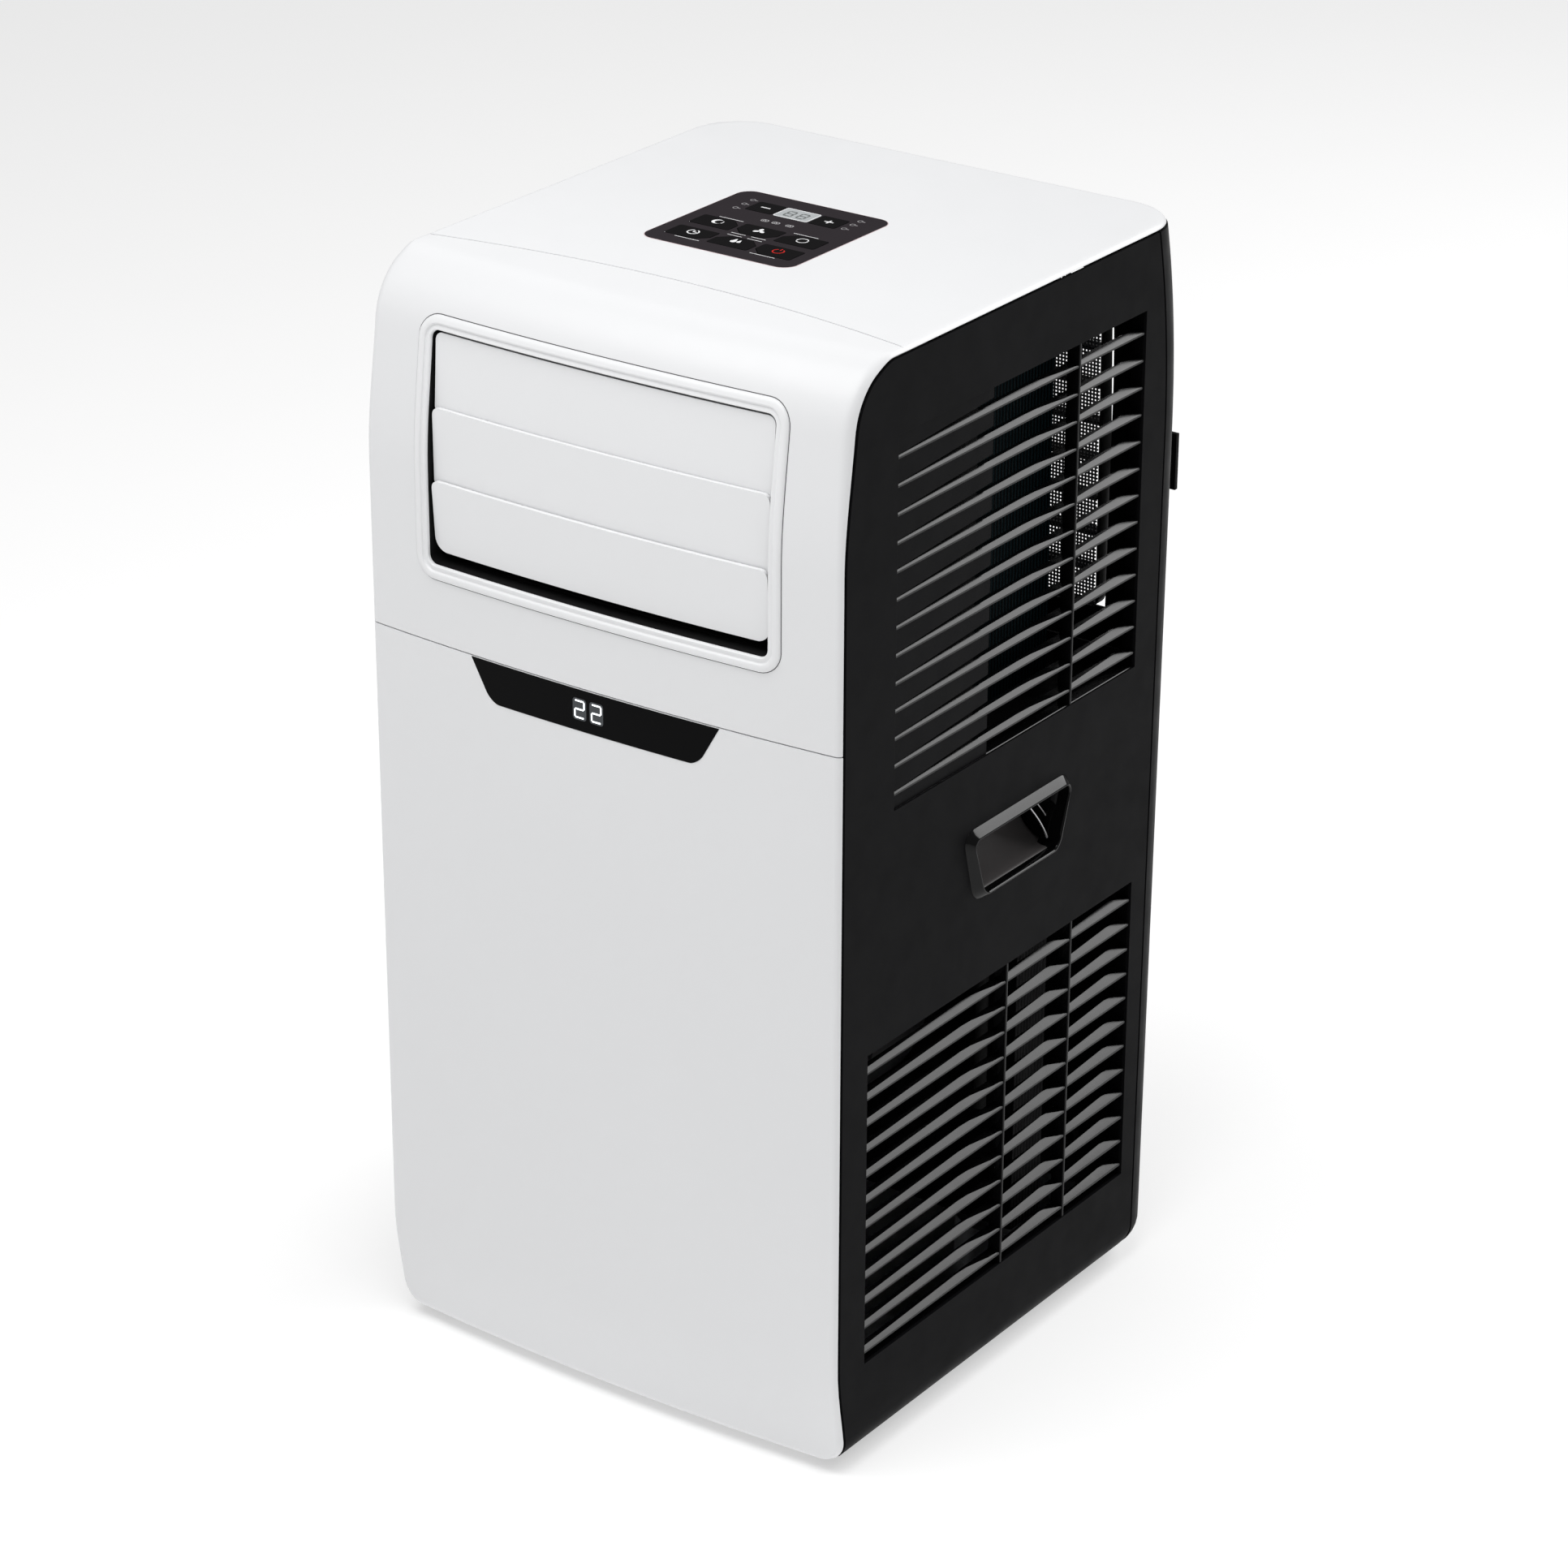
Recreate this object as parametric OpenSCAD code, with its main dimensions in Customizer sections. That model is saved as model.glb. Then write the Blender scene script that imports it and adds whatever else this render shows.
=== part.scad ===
// Portable air conditioner: a tall cabinet on four casters, cooling half above, condensing half below.
// +Z is up, the front faces -Y, and the origin is on the floor under the middle of the bounding box.

/* [Cabinet] */
// Width across the two side panels
body_w = 345; // [270:5:430]
// Depth from the middle of the front to the fullest part of the rear
body_d = 385; // [310:5:480]
// Height of the cabinet without its casters
body_h = 703; // [570:1:860]
// Height that the casters lift the cabinet off the floor
caster_lift = 8; // [5:0.5:12]
// How far the middle of the front stands ahead of its side edges
front_bow = 7.6; // [2:0.2:14]
// Wall thickness of the moulded covers
wall = 2.6; // [1.8:0.1:4]
// Gap showing between neighbouring covers
seam_gap = 1.6; // [0.6:0.1:3]
// Radius of the shoulder between the front and the top
shoulder_r = 38; // [20:1:60]
// How far the front leans back above the outlet
front_lean = 10.5; // [0:0.5:20]
// How far the rear leans in towards the top
rear_lean = 15; // [0:0.5:25]
// Corner radius of the rear in plan
rear_corner_r = 38; // [20:1:60]
// Radius of the roll under the side panels
side_roll_r = 18; // [8:1:26]
// Edge rounding of the covers
edge_r = 4.5; // [2:0.5:8]

/* [Front] */
// Height of the seam between the two front panels, as a share of the cabinet
seam_share = 0.675; // [0.6:0.005:0.72]
// Height of the bottom of the outlet frame, as a share of the cabinet
outlet_low_share = 0.7333; // [0.72:0.002:0.78]
// Height of the top of the outlet frame, as a share of the cabinet
outlet_high_share = 0.9645; // [0.9:0.002:0.975]
// Width of the outlet frame, as a share of the cabinet
outlet_width_share = 0.77; // [0.6:0.01:0.82]
// Width of the bezel round the outlet
bezel_w = 9.5; // [6:0.5:14]
// Thickness of an outlet flap
flap_t = 2.4; // [1.6:0.1:4]
// Largest turn of the outlet flaps
flap_turn = 60; // [30:5:75]
// Width of the display window at its top
display_w = 182; // [120:2:240]
// Height of the display window
display_h = 27; // [18:1:40]

/* [Sides] */
// Pitch of the side grille blades
blade_pitch = 17.27; // [12:0.01:26]
// Thickness of a grille blade
blade_t = 1.8; // [1.2:0.1:3]
// Depth of a grille blade behind the side face
blade_depth = 8.5; // [6:0.5:12]
// Width of the handle cup at its top
handle_w = 118; // [90:1:140]
// Height of the handle cup
handle_h = 50; // [36:1:64]
// Depth of the handle cup behind the side face
handle_depth = 34; // [24:1:44]
// How far the handle rim stands out from the side face
handle_proud = 5; // [2:0.5:9]

/* [Controls] */
// Width and depth of the control overlay
overlay_w = 108; // [90:1:130]
// Offset of the overlay from the middle of the top
overlay_x = -13.5; // [-30:0.5:30]
// Travel of a key
key_travel = 0.6; // [0.3:0.1:1.2]
// Pitch of the key columns
key_pitch = 31; // [26:0.5:36]

/* [Air and cooling] */
// Bore of the exhaust collar
exhaust_r = 70; // [50:1:76]
// Radius of the two fan wheels
fan_r = 80; // [60:1:84]
// Radius of the compressor shell
compressor_r = 56; // [44:1:60]
// Height of the compressor shell
compressor_h = 150; // [110:5:170]
// Reach of the cord hooks behind the rear
hook_reach = 16; // [10:1:26]
// Radius of a caster wheel
caster_r = 16; // [12:0.5:18]

/* [Hidden] */
// Smoothness of round parts
round_fn = 96;
small_fn = 48;
// Smallest overlap used to join the pieces of one solid
eps = 0.5;
// Clearance round fixed parts that fit into each other, and round running parts
fit = 0.3;
run = 0.05;
half_w = body_w / 2;
zb = caster_lift;
zt = zb + body_h;
outlet_proud = 2.2;
overall_d = body_d + hook_reach + outlet_proud;
y_mid = outlet_proud - overall_d / 2;
y_edge = y_mid + front_bow;
y_rear = y_mid + body_d;
lean_h = body_h * 0.171;
rear_lean_h = body_h * 0.193;
foot_h = body_h * 0.1;
foot_set = body_h * 0.0114;
rear_foot_set = body_h * 0.0086;
foot_roll_front = 5;
foot_roll_rear = 20;
seam_set = edge_r * 0.55;
z_seam = zb + body_h * seam_share;
z_deck = zb + body_h * 0.577;
cut_w = 4 * body_w;
cut_h = 4 * body_h;

function sq(v) = v * v;
function clamp01(t) = min(1, max(0, t));
function smooth(t) = sq(clamp01(t)) * (3 - 2 * clamp01(t));
function arc_in(r, d) = (d >= r) ? 0 : r - sqrt(max(0, sq(r) - sq(r - max(0, d))));
function below_top(z) = zt - z;
function above_base(z) = z - zb;
function front_set(z) = arc_in(shoulder_r, below_top(z)) + front_lean * (1 - smooth(below_top(z) / lean_h))
  + foot_set * (1 - smooth(above_base(z) / foot_h)) + arc_in(foot_roll_front, above_base(z));
function rear_slope(z) = rear_foot_set * clamp01((below_top(z) - rear_lean_h) / (body_h - rear_lean_h));
function rear_set(z) = rear_lean * pow(1 - clamp01(below_top(z) / rear_lean_h), 2.2)
  + arc_in(edge_r, below_top(z)) + rear_slope(z) + arc_in(foot_roll_rear, above_base(z));
function side_set(z) = arc_in(edge_r, below_top(z)) + arc_in(side_roll_r, above_base(z));
function front_y(z) = y_edge + front_set(z);
function rear_y(z) = y_rear - rear_set(z);

// Plan of the cabinet at one height, drawn in by "off" all round
function plan(z, off) =
  let (w = half_w - side_set(z) - off, r = min(edge_r, w / 4), rr = rear_corner_r - off,
       yf = front_y(z) + off, yr = rear_y(z) - off, n = 12, m = 8, k = 3)
  concat(
    [for (i = [0:n]) let (x = -(w - r) + 2 * (w - r) * i / n) [x, yf - front_bow * (1 - sq(x / half_w))]],
    [for (i = [1:k]) let (a = -90 + 90 * i / k)
      [w - r + r * cos(a), yf - front_bow * (1 - sq((w - r) / half_w)) + r + r * sin(a)]],
    [for (i = [0:m]) let (a = 90 * i / m) [w - rr + rr * cos(a), yr - rr + rr * sin(a)]],
    [for (i = [0:m]) let (a = 90 + 90 * i / m) [-w + rr + rr * cos(a), yr - rr + rr * sin(a)]],
    [for (i = [0:k - 1]) let (a = 180 + 90 * i / k)
      [-w + r + r * cos(a), yf - front_bow * (1 - sq((w - r) / half_w)) + r + r * sin(a)]]
  );

roll_steps = 5;
foot_steps = 3;
edge_steps = 3;
top_steps = 8;
function foot_levels() = concat(
  [for (i = [0:roll_steps]) side_roll_r * (1 - cos(90 * i / roll_steps))],
  [for (i = [1:foot_steps]) side_roll_r + (foot_h - side_roll_r) * i / foot_steps]
);
function top_levels() = concat(
  [for (i = [0:edge_steps]) edge_r * (1 - cos(90 * i / edge_steps))],
  [for (i = [1:top_steps]) edge_r + (rear_lean_h - edge_r) * pow(i / top_steps, 1.5)]
);
function levels(off) = concat([for (h = foot_levels()) zb + off + h],
  [let (t = top_levels()) for (i = [len(t) - 1:-1:0]) zt - off - t[i]]);

// Convex slice between two rings with the same number of points
module slice(a, za, b, z_b) {
  n = len(a);
  hull() polyhedron(
    points = concat([for (p = a) [p[0], p[1], za]], [for (p = b) [p[0], p[1], z_b]]),
    faces = concat([[for (i = [0:n - 1]) i]], [[for (i = [n - 1:-1:0]) n + i]],
      [for (i = [0:n - 1]) [i, n + i, n + (i + 1) % n, (i + 1) % n]])
  );
}

// The whole outer form of the cabinet, or the form drawn in by "off"
module envelope(off = 0) {
  lv = levels(off);
  for (i = [0:len(lv) - 2]) slice(plan(lv[i], off), lv[i], plan(lv[i + 1], off), lv[i + 1]);
}

module shell() {
  difference() {
    envelope(0);
    envelope(wall);
  }
}

// Outline of a side panel in Y and Z, drawn in by "gap"
side_top = zt - edge_r * 0.75;
rear_seam_set = rear_corner_r * 0.92;
side_steps = 14;
// Outline heights; "gap" draws the outline in from the covers round it
function side_levels(gap) = concat(
  [for (i = [0:side_steps]) zb + foot_h * 1.2 * pow(i / side_steps, 1.6)],
  [for (i = [side_steps:-1:0]) side_top - gap - rear_lean_h * pow(i / side_steps, 1.8)]
);
function side_front_y(z, gap) = min(front_y(min(z + seam_set, zt - shoulder_r * 0.04)) + seam_set + gap,
  y_edge + shoulder_r * 2.2);
function side_rear_y(z, gap) = rear_y(z) - rear_seam_set - gap;
function side_outline(gap) = concat(
  [for (z = side_levels(gap)) [side_front_y(z, gap), z]],
  [let (lv = side_levels(gap)) for (i = [len(lv) - 1:-1:0]) [side_rear_y(lv[i], gap), lv[i]]]
);

// Prism along X with a profile given in Y and Z
module along_x(points, x0, x1) {
  translate([x0, 0, 0]) rotate([90, 0, 90]) linear_extrude(x1 - x0) polygon(points);
}
// Prism along Y with a profile given in X and Z
module along_y(points, y0, y1) {
  translate([0, y1, 0]) rotate([90, 0, 0]) linear_extrude(y1 - y0) polygon(points);
}
module box_at(x0, x1, y0, y1, z0, z1) {
  translate([x0, y0, z0]) cube([x1 - x0, y1 - y0, z1 - z0]);
}
module mirror_x(on) {
  if (on) mirror([1, 0, 0]) children();
  else children();
}
// Rounded polygon: each corner replaced by an arc of radius r
function corner_arc(p, q, s, r) =
  let (u = (p - q) / norm(p - q), v = (s - q) / norm(s - q), h = acos(u * v) / 2,
       d = r / tan(h), b = (u + v) / norm(u + v), c = q + b * (r / sin(h)),
       a0 = atan2((q + u * d - c)[1], (q + u * d - c)[0]), a1 = atan2((q + v * d - c)[1], (q + v * d - c)[0]),
       da = (a1 - a0 > 180) ? a1 - a0 - 360 : ((a1 - a0 < -180) ? a1 - a0 + 360 : a1 - a0), n = 6)
  [for (i = [0:n]) c + r * [cos(a0 + da * i / n), sin(a0 + da * i / n)]];
function rounded(pts, r) = [for (i = [0:len(pts) - 1])
  for (p = corner_arc(pts[(i + len(pts) - 1) % len(pts)], pts[i], pts[(i + 1) % len(pts)], r)) p];
function rect(x0, x1, y0, y1) = [[x0, y0], [x1, y0], [x1, y1], [x0, y1]];

// Spaces for the side panels, cut out of the wrap-round covers
module side_spaces() {
  in = side_t + seam_gap;
  roll = side_roll_r + lip + 1;
  along_x(side_outline(0), half_w - in, half_w + in);
  along_x(side_outline(0), -half_w - in, -half_w + in);
  for (s = [-1, 1]) intersection() {
    along_x(side_outline(0), -half_w - 5, half_w + 5);
    box_at((s < 0) ? -half_w - 5 : half_w - roll, (s < 0) ? -half_w + roll : half_w + 5, -cut_w, cut_w,
      zb - 1, zb + side_roll_r);
  }
}

/* Outlet, shared sizes */
oz0 = zb + body_h * outlet_low_share;
oz1 = zb + body_h * outlet_high_share;
outlet_half = body_w * outlet_width_share / 2;
hole_half = outlet_half - bezel_w;
hz0 = oz0 + bezel_w;
hz1 = oz1 - bezel_w;
outlet_r = 15;
frame_depth = 7;
flap_gap_top = 1.5;
flap_gap_low = 7;
flap_pitch = (hz1 - hz0 - flap_gap_top - flap_gap_low) / 3;
duct_back_y = y_edge + front_lean + 58;

// Front surface height by height, used to set a flat plane tangent to the leaning front
function flap_z(i) = hz1 - flap_gap_top - flap_pitch * (i + 0.5);
module outlet_prism(half, z0, z1, r, y0, y1) {
  along_y(rounded(rect(-half, half, z0, z1), r), y0, y1);
}

module upper_front_panel() {
  color("white") difference() {
    intersection() {
      shell();
      union() {
        box_at(-half_w - 1, half_w + 1, y_mid - 1, y_edge + seam_set + seam_gap + front_lean + shoulder_r * 0.9,
          z_seam + seam_gap / 4, zt + 1);
        top_seam_region(0);
      }
      box_at(-cut_w, cut_w, -cut_w, cut_w, z_seam + seam_gap / 4, cut_h);
    }
    side_spaces();
    outlet_prism(outlet_half - wall, oz0 + wall, oz1 - wall, outlet_r - wall, y_mid - 1, duct_back_y);
    rear_region(zb);
  }
}

// Region in plan in front of the bowed seam between the front and the top
top_seam_edge = y_edge + front_lean + shoulder_r + 9.5;
top_seam_bow = 20;
module top_seam_region(gap) {
  n = 16;
  pts = concat([[-half_w - 5, y_mid - 5]],
    [for (i = [0:n]) let (t = -1 + 2 * i / n) [t * (half_w + 5), top_seam_edge + top_seam_bow * (1 - t * t) + gap]],
    [[half_w + 5, y_mid - 5]]);
  translate([0, 0, zt - shoulder_r]) linear_extrude(shoulder_r + 5) polygon(pts);
}
// Everything behind the rear seam
module rear_region(z_low) {
  lv = side_levels(0);
  pts = concat([for (z = lv) [side_rear_y(z, 0), z]],
    [[side_rear_y(zt, 0), zt + 5], [y_rear + 50, zt + 5], [y_rear + 50, zb - 5], [side_rear_y(zb, 0), zb - 5]]);
  along_x(pts, -half_w - 5, half_w + 5);
}

foot_wrap = 20;
module lower_front_panel() {
  color("white") difference() {
    intersection() {
      shell();
      box_at(-half_w - 1, half_w + 1, y_mid - 1, y_edge + foot_wrap, zb - 1, z_seam - seam_gap / 4);
    }
    side_spaces();
    display_prism(fit, y_mid - 5, y_edge + foot_wrap);
  }
}

module top_cover() {
  rim = edge_r * 0.75;
  color("white") difference() {
    intersection() {
      shell();
      box_at(-half_w - 1, half_w + 1, y_mid, y_rear + 1, zt - rim, zt + 1);
    }
    top_seam_region(seam_gap / 4);
    side_spaces();
    translate([0, 0, zt - wall - 3]) linear_extrude(wall + 5) polygon(overlay_outline(-1.5));
    translate([0, 0, overlay_z - 0.05]) linear_extrude(wall) polygon(overlay_outline(0.6 + fit));
  }
}

filter_half = body_w * 0.33;
filter_z0 = z_deck + 22;
filter_z1 = zt - body_h * 0.075;
filter_r = 8;
exhaust_z = zb + body_h * 0.47;
exhaust_wall = 3;
gland_x = half_w * 0.62;
gland_z = zb + body_h * 0.075;
gland_r = 9;
drain_x = 0;
drain_z = zb + body_h * 0.05;
drain_r = 9;
hook_x = half_w * 0.78;
hook_z = zb + body_h * 0.7525;
rear_vent_half = body_w * 0.33;
rear_vent_z0 = zb + body_h * 0.12;
rear_vent_z1 = zb + body_h * 0.33;
vent_pitch = 14;
vent_slots = floor((rear_vent_z1 - rear_vent_z0) / vent_pitch);
screw_x = half_w - rear_corner_r - 6;
screw_xs = [-screw_x, screw_x];
screw_shares = [0.07, 0.36, 0.595, 0.95];
screw_hole_r = 2.4;
screw_r = 2;
module rear_cover() {
  color("black") difference() {
    intersection() {
      shell();
      rear_region(zb);
      box_at(-half_w - 1, half_w + 1, -cut_w, y_rear + 1, zb - 1, zt - edge_r * 0.75 - seam_gap * 0.6);
    }
    // Intake opening for the filter
    along_y(rounded(rect(-filter_half, filter_half, filter_z0, filter_z1), filter_r), y_rear - 60, y_rear + 5);
    // Exhaust opening
    translate([0, y_rear + 5, exhaust_z]) rotate([90, 0, 0])
      cylinder(r = exhaust_r + exhaust_wall + fit, h = 80, $fn = round_fn);
    translate([gland_x, y_rear + 5, gland_z]) rotate([90, 0, 0])
      cylinder(r = gland_r + fit, h = 40, $fn = small_fn);
    translate([drain_x, y_rear + 5, drain_z]) rotate([90, 0, 0])
      cylinder(r = drain_r + fit, h = 40, $fn = small_fn);
    // Condenser vent slots
    for (i = [0:vent_slots - 1]) {
      z = rear_vent_z0 + vent_pitch * i;
      box_at(-rear_vent_half, -3, y_rear - 40, y_rear + 5, z, z + vent_pitch * 0.5);
      box_at(3, rear_vent_half, y_rear - 40, y_rear + 5, z, z + vent_pitch * 0.5);
    }
    for (x = screw_xs, s = screw_shares) {
      translate([x, y_rear + 5, zb + body_h * s]) rotate([90, 0, 0])
        cylinder(r = screw_hole_r, h = 60, $fn = 24);
    }
  }
}

/* Side panel with its two grilles */
side_t = 3;
grille_side_z0 = zb + body_h * 0.6004;
grille_side_z1 = zb + body_h * 0.9292;
grille_low_z0 = zb + body_h * 0.0899;
grille_low_z1 = zb + body_h * 0.3882;
gu_y0 = y_mid + body_d * 0.1592;
gu_y1 = y_mid + body_d * 0.8395;
gu_m = y_mid + body_d * 0.651;
gl_y0 = y_mid + body_d * 0.097;
gl_y1 = y_mid + body_d * 0.8538;
gl_m1 = y_mid + body_d * 0.4868;
gl_m2 = y_mid + body_d * 0.6735;
blade_first = 13.45;
low_first = 11.9;
handle_y = y_mid + body_d * 0.5026;
handle_z = zb + body_h * 0.5028;
handle_taper = 13;
function handle_outline(off) =
  let (t = handle_w / 2 - off, b = handle_w / 2 - handle_taper - off, h = handle_h / 2 - off)
  [[handle_y - b, handle_z - h], [handle_y + b, handle_z - h], [handle_y + t, handle_z + h], [handle_y - t, handle_z + h]];

// Section of the side panel in X and Z: flat above, rolling under at the foot
lip = 9;
roll_n = 10;
side_section = concat(
  [[half_w, side_top]],
  [for (i = [0:roll_n]) let (a = -90 * i / roll_n)
    [half_w - side_roll_r + side_roll_r * cos(a), zb + side_roll_r + side_roll_r * sin(a)]],
  [[half_w - side_roll_r - lip, zb], [half_w - side_roll_r - lip, zb + side_t]],
  [for (i = [roll_n:-1:0]) let (a = -90 * i / roll_n, r = side_roll_r - side_t)
    [half_w - side_roll_r + r * cos(a), zb + side_roll_r + r * sin(a)]],
  [[half_w - side_t, side_top]]
);
module blades(y0, y1, z_top, z_low, first) {
  n = floor((z_top - z_low - first - blade_t) / blade_pitch);
  drop = 1.2;
  inset = 0.8;
  for (i = [0:n]) {
    z = z_top - first - blade_pitch * i;
    along_y([[half_w - inset, z], [half_w - blade_depth, z + drop],
             [half_w - blade_depth, z + drop - blade_t], [half_w - inset, z - blade_t]], y0 - eps, y1 + eps);
  }
}
module grille_ring(y0, y1, z0, z1) {
  t = 1.8;
  difference() {
    box_at(half_w - blade_depth - 1, half_w - side_t + eps, y0 - t, y1 + t, z0 - t, z1 + t);
    box_at(half_w - blade_depth - 2, half_w, y0, y1, z0, z1);
  }
}
module side_panel() {
  mullion_t = 2;
  difference() {
    intersection() {
      along_y(side_section, y_mid - 5, y_rear + 5);
      along_x(side_outline(seam_gap), half_w - 60, half_w + 5);
    }
    box_at(half_w - 10, half_w + 1, gu_y0, gu_y1, grille_side_z0, grille_side_z1);
    box_at(half_w - 10, half_w + 1, gl_y0, gl_y1, grille_low_z0, grille_low_z1);
    along_x(rounded(handle_outline(4), 9), half_w - 10, half_w + 1);
  }
  grille_ring(gu_y0, gu_y1, grille_side_z0, grille_side_z1);
  grille_ring(gl_y0, gl_y1, grille_low_z0, grille_low_z1);
  blades(gu_y0, gu_y1, grille_side_z1, grille_side_z0, blade_first);
  blades(gl_y0, gl_y1, grille_low_z1, grille_low_z0, low_first);
  box_at(half_w - blade_depth - 1, half_w - 0.4, gu_m - mullion_t / 2, gu_m + mullion_t / 2,
    grille_side_z0 - eps, grille_side_z1 + eps);
  for (m = [gl_m1, gl_m2]) {
    box_at(half_w - blade_depth - 1, half_w - 0.4, m - mullion_t / 2, m + mullion_t / 2,
      grille_low_z0 - eps, grille_low_z1 + eps);
  }
}
module side_panel_right() {
  color("black") side_panel();
}
module side_panel_left() {
  color("black") mirror([1, 0, 0]) side_panel();
}

/* Handle cup: a rim proud of the side and a cup with a finger cavity behind the upper rim */
module handle_cup() {
  cup_t = 2.4;
  rim_w = 6;
  rim_in = 4 + fit;
  back = half_w - handle_depth;
  roof = 12;
  y0 = handle_y - handle_w / 2;
  y1 = handle_y + handle_w / 2;
  difference() {
    union() {
      along_x(rounded(handle_outline(0), 11), half_w + 0.05, half_w + handle_proud);
      along_x(rounded(handle_outline(rim_in), 9 - fit), half_w - side_t - 4, half_w + 1);
      box_at(back, half_w - side_t - 3, y0 + rim_in, y1 - rim_in, handle_z - handle_h / 2 + rim_in,
        handle_z + handle_h / 2 + roof);
    }
    along_x(rounded(handle_outline(rim_w + 0.6), 6), half_w - side_t - 4 - eps, half_w + handle_proud + 1);
    // Cavity with a floor that rises towards the back
    along_y([[half_w - side_t - 3 - eps, handle_z - handle_h / 2 + rim_w + 0.6],
             [half_w - handle_depth * 0.5, handle_z - handle_h / 2 + rim_w + 6],
             [back + cup_t + 3, handle_z - 3], [back + cup_t, handle_z + 6],
             [back + cup_t, handle_z + handle_h / 2 + roof - cup_t],
             [half_w - side_t - 3 - cup_t, handle_z + handle_h / 2 + roof - cup_t],
             [half_w - side_t - 3 - cup_t, handle_z + handle_h / 2 - rim_w - 0.6],
             [half_w - side_t - 3 - eps, handle_z + handle_h / 2 - rim_w - 0.6]],
      y0 + rim_in + cup_t + handle_taper, y1 - rim_in - cup_t - handle_taper);
  }
}
module handle_cup_right() {
  color("black") handle_cup();
}
module handle_cup_left() {
  color("black") mirror([1, 0, 0]) handle_cup();
}

/* Base pan with four caster wells */
base_t = 2;
base_z = zb + side_t + fit;
well_r = caster_r * 1.92;
well_roof = caster_lift + caster_r * 2;
caster_x = half_w - side_roll_r - lip - well_r - 4;
caster_yf = y_edge + foot_wrap + well_r + 14;
caster_yr = side_rear_y(zb, 0) - well_r - 6;
pan_half = half_w - side_roll_r - 4;
pan_y0 = y_edge + 16 + foot_set;
pan_y1 = y_rear - rear_foot_set - wall - 22;
pan_rim = 26;
stem_r = 4;
foot_r = compressor_r * 0.86;
stud_r = 3;
stud_h = 18;
rubber_h = 12;
compressor_y = y_mid + body_d * 0.28;
module at_casters() {
  for (x = [-caster_x, caster_x], y = [caster_yf, caster_yr]) translate([x, y, 0]) children();
}
module base_pan() {
  color("dimgray") {
    difference() {
      union() {
        difference() {
          box_at(-pan_half, pan_half, pan_y0, pan_y1, base_z, base_z + pan_rim);
          box_at(-pan_half + base_t, pan_half - base_t, pan_y0 + base_t, pan_y1 - base_t,
            base_z + base_t, base_z + pan_rim + 1);
        }
        at_casters() translate([0, 0, base_z]) cylinder(r = well_r + base_t, h = well_roof + 3 - base_z, $fn = round_fn);
        at_casters() translate([0, 0, well_roof]) cylinder(r = stem_r + 3, h = 16, $fn = small_fn);
      }
      at_casters() translate([0, 0, base_z - 1]) cylinder(r = well_r, h = well_roof + 1 - base_z, $fn = round_fn);
      at_casters() translate([0, 0, well_roof - 1]) cylinder(r = stem_r + run, h = 14, $fn = small_fn);
    }
    for (a = [90, 210, 330]) translate([foot_r * cos(a), compressor_y + foot_r * sin(a), base_z + base_t - eps])
      cylinder(r = stud_r, h = stud_h, $fn = small_fn);
  }
}

// Deck between the two halves, with a drip tray
deck_half = half_w - side_t - blade_depth - 3;
module deck() {
  y0 = y_edge + foot_wrap;
  y1 = y_rear - rear_corner_r - 4;
  color("gainsboro") difference() {
    box_at(-deck_half, deck_half, y0, y1, z_deck, z_deck + 16);
    box_at(-deck_half + 2, deck_half - 2, y0 + 2, y1 - 2, z_deck + 2.5, z_deck + 20);
    box_at(-12, 12, y_mid + body_d * 0.55, y_mid + body_d * 0.6, z_deck - 1, z_deck + 5);
  }
}

/* Outlet */
module outlet_frame() {
  color("white") intersection() {
    difference() {
      envelope_band(-outlet_proud, frame_depth);
      outlet_prism(hole_half, hz0, hz1, outlet_r - bezel_w * 0.5, y_mid - 20, duct_back_y);
    }
    outlet_prism(outlet_half - wall - fit, oz0 + wall + fit, oz1 - wall - fit, outlet_r - wall - fit,
      y_mid - 20, duct_back_y);
  }
}
// Band that follows the front, from "a" behind the face to "b" behind it
module envelope_band(a, b) {
  n = 10;
  for (i = [0:n - 1]) {
    za = oz0 + (oz1 - oz0) * i / n;
    z_b = oz0 + (oz1 - oz0) * (i + 1) / n;
    slice(band_ring(za, a, b), za, band_ring(z_b, a, b), z_b);
  }
}
function band_ring(z, a, b) = let (m = 10) concat(
  [for (k = [0:m]) let (x = outlet_half * (2 * k / m - 1)) [x, front_y(z) + a - front_bow * (1 - sq(x / half_w))]],
  [[outlet_half, front_y(z) + b], [-outlet_half, front_y(z) + b]]);
module outlet_duct() {
  t = duct_t;
  g = duct_gap;
  duct_clear = 1.4;
  duct_y0 = front_y(hz0) + frame_depth + 0.5;
  color("black") difference() {
    box_at(-hole_half - g - t, hole_half + g + t, duct_y0, duct_back_y, hz0 - t, hz1 + t);
    box_at(-hole_half - g, hole_half + g, duct_y0 - 1, duct_back_y + 1, hz0, hz1);
    // Clear of the frame and the shoulder where the front leans back
    along_x(concat([for (k = [0:6]) let (z = hz0 + (hz1 + 3 - hz0) * (0.4 + 0.1 * k)) [front_y(z) + frame_depth + duct_clear, z]],
      [[duct_y0 - 5, hz1 + 3], [duct_y0 - 5, hz0 + (hz1 + 3 - hz0) * 0.4]]), -half_w, half_w);
    for (i = [0:2]) translate([-half_w, flap_pivot_y(i), flap_z(i)]) rotate([0, 90, 0])
      cylinder(r = flap_pin_r + run, h = body_w, $fn = small_fn);
    for (i = [0:vane_count - 1]) translate([vane_x(i), vane_y, hz0 - 5])
      cylinder(r = vane_pin_r + run, h = hz1 - hz0 + 10, $fn = small_fn);
  }
}

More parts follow.
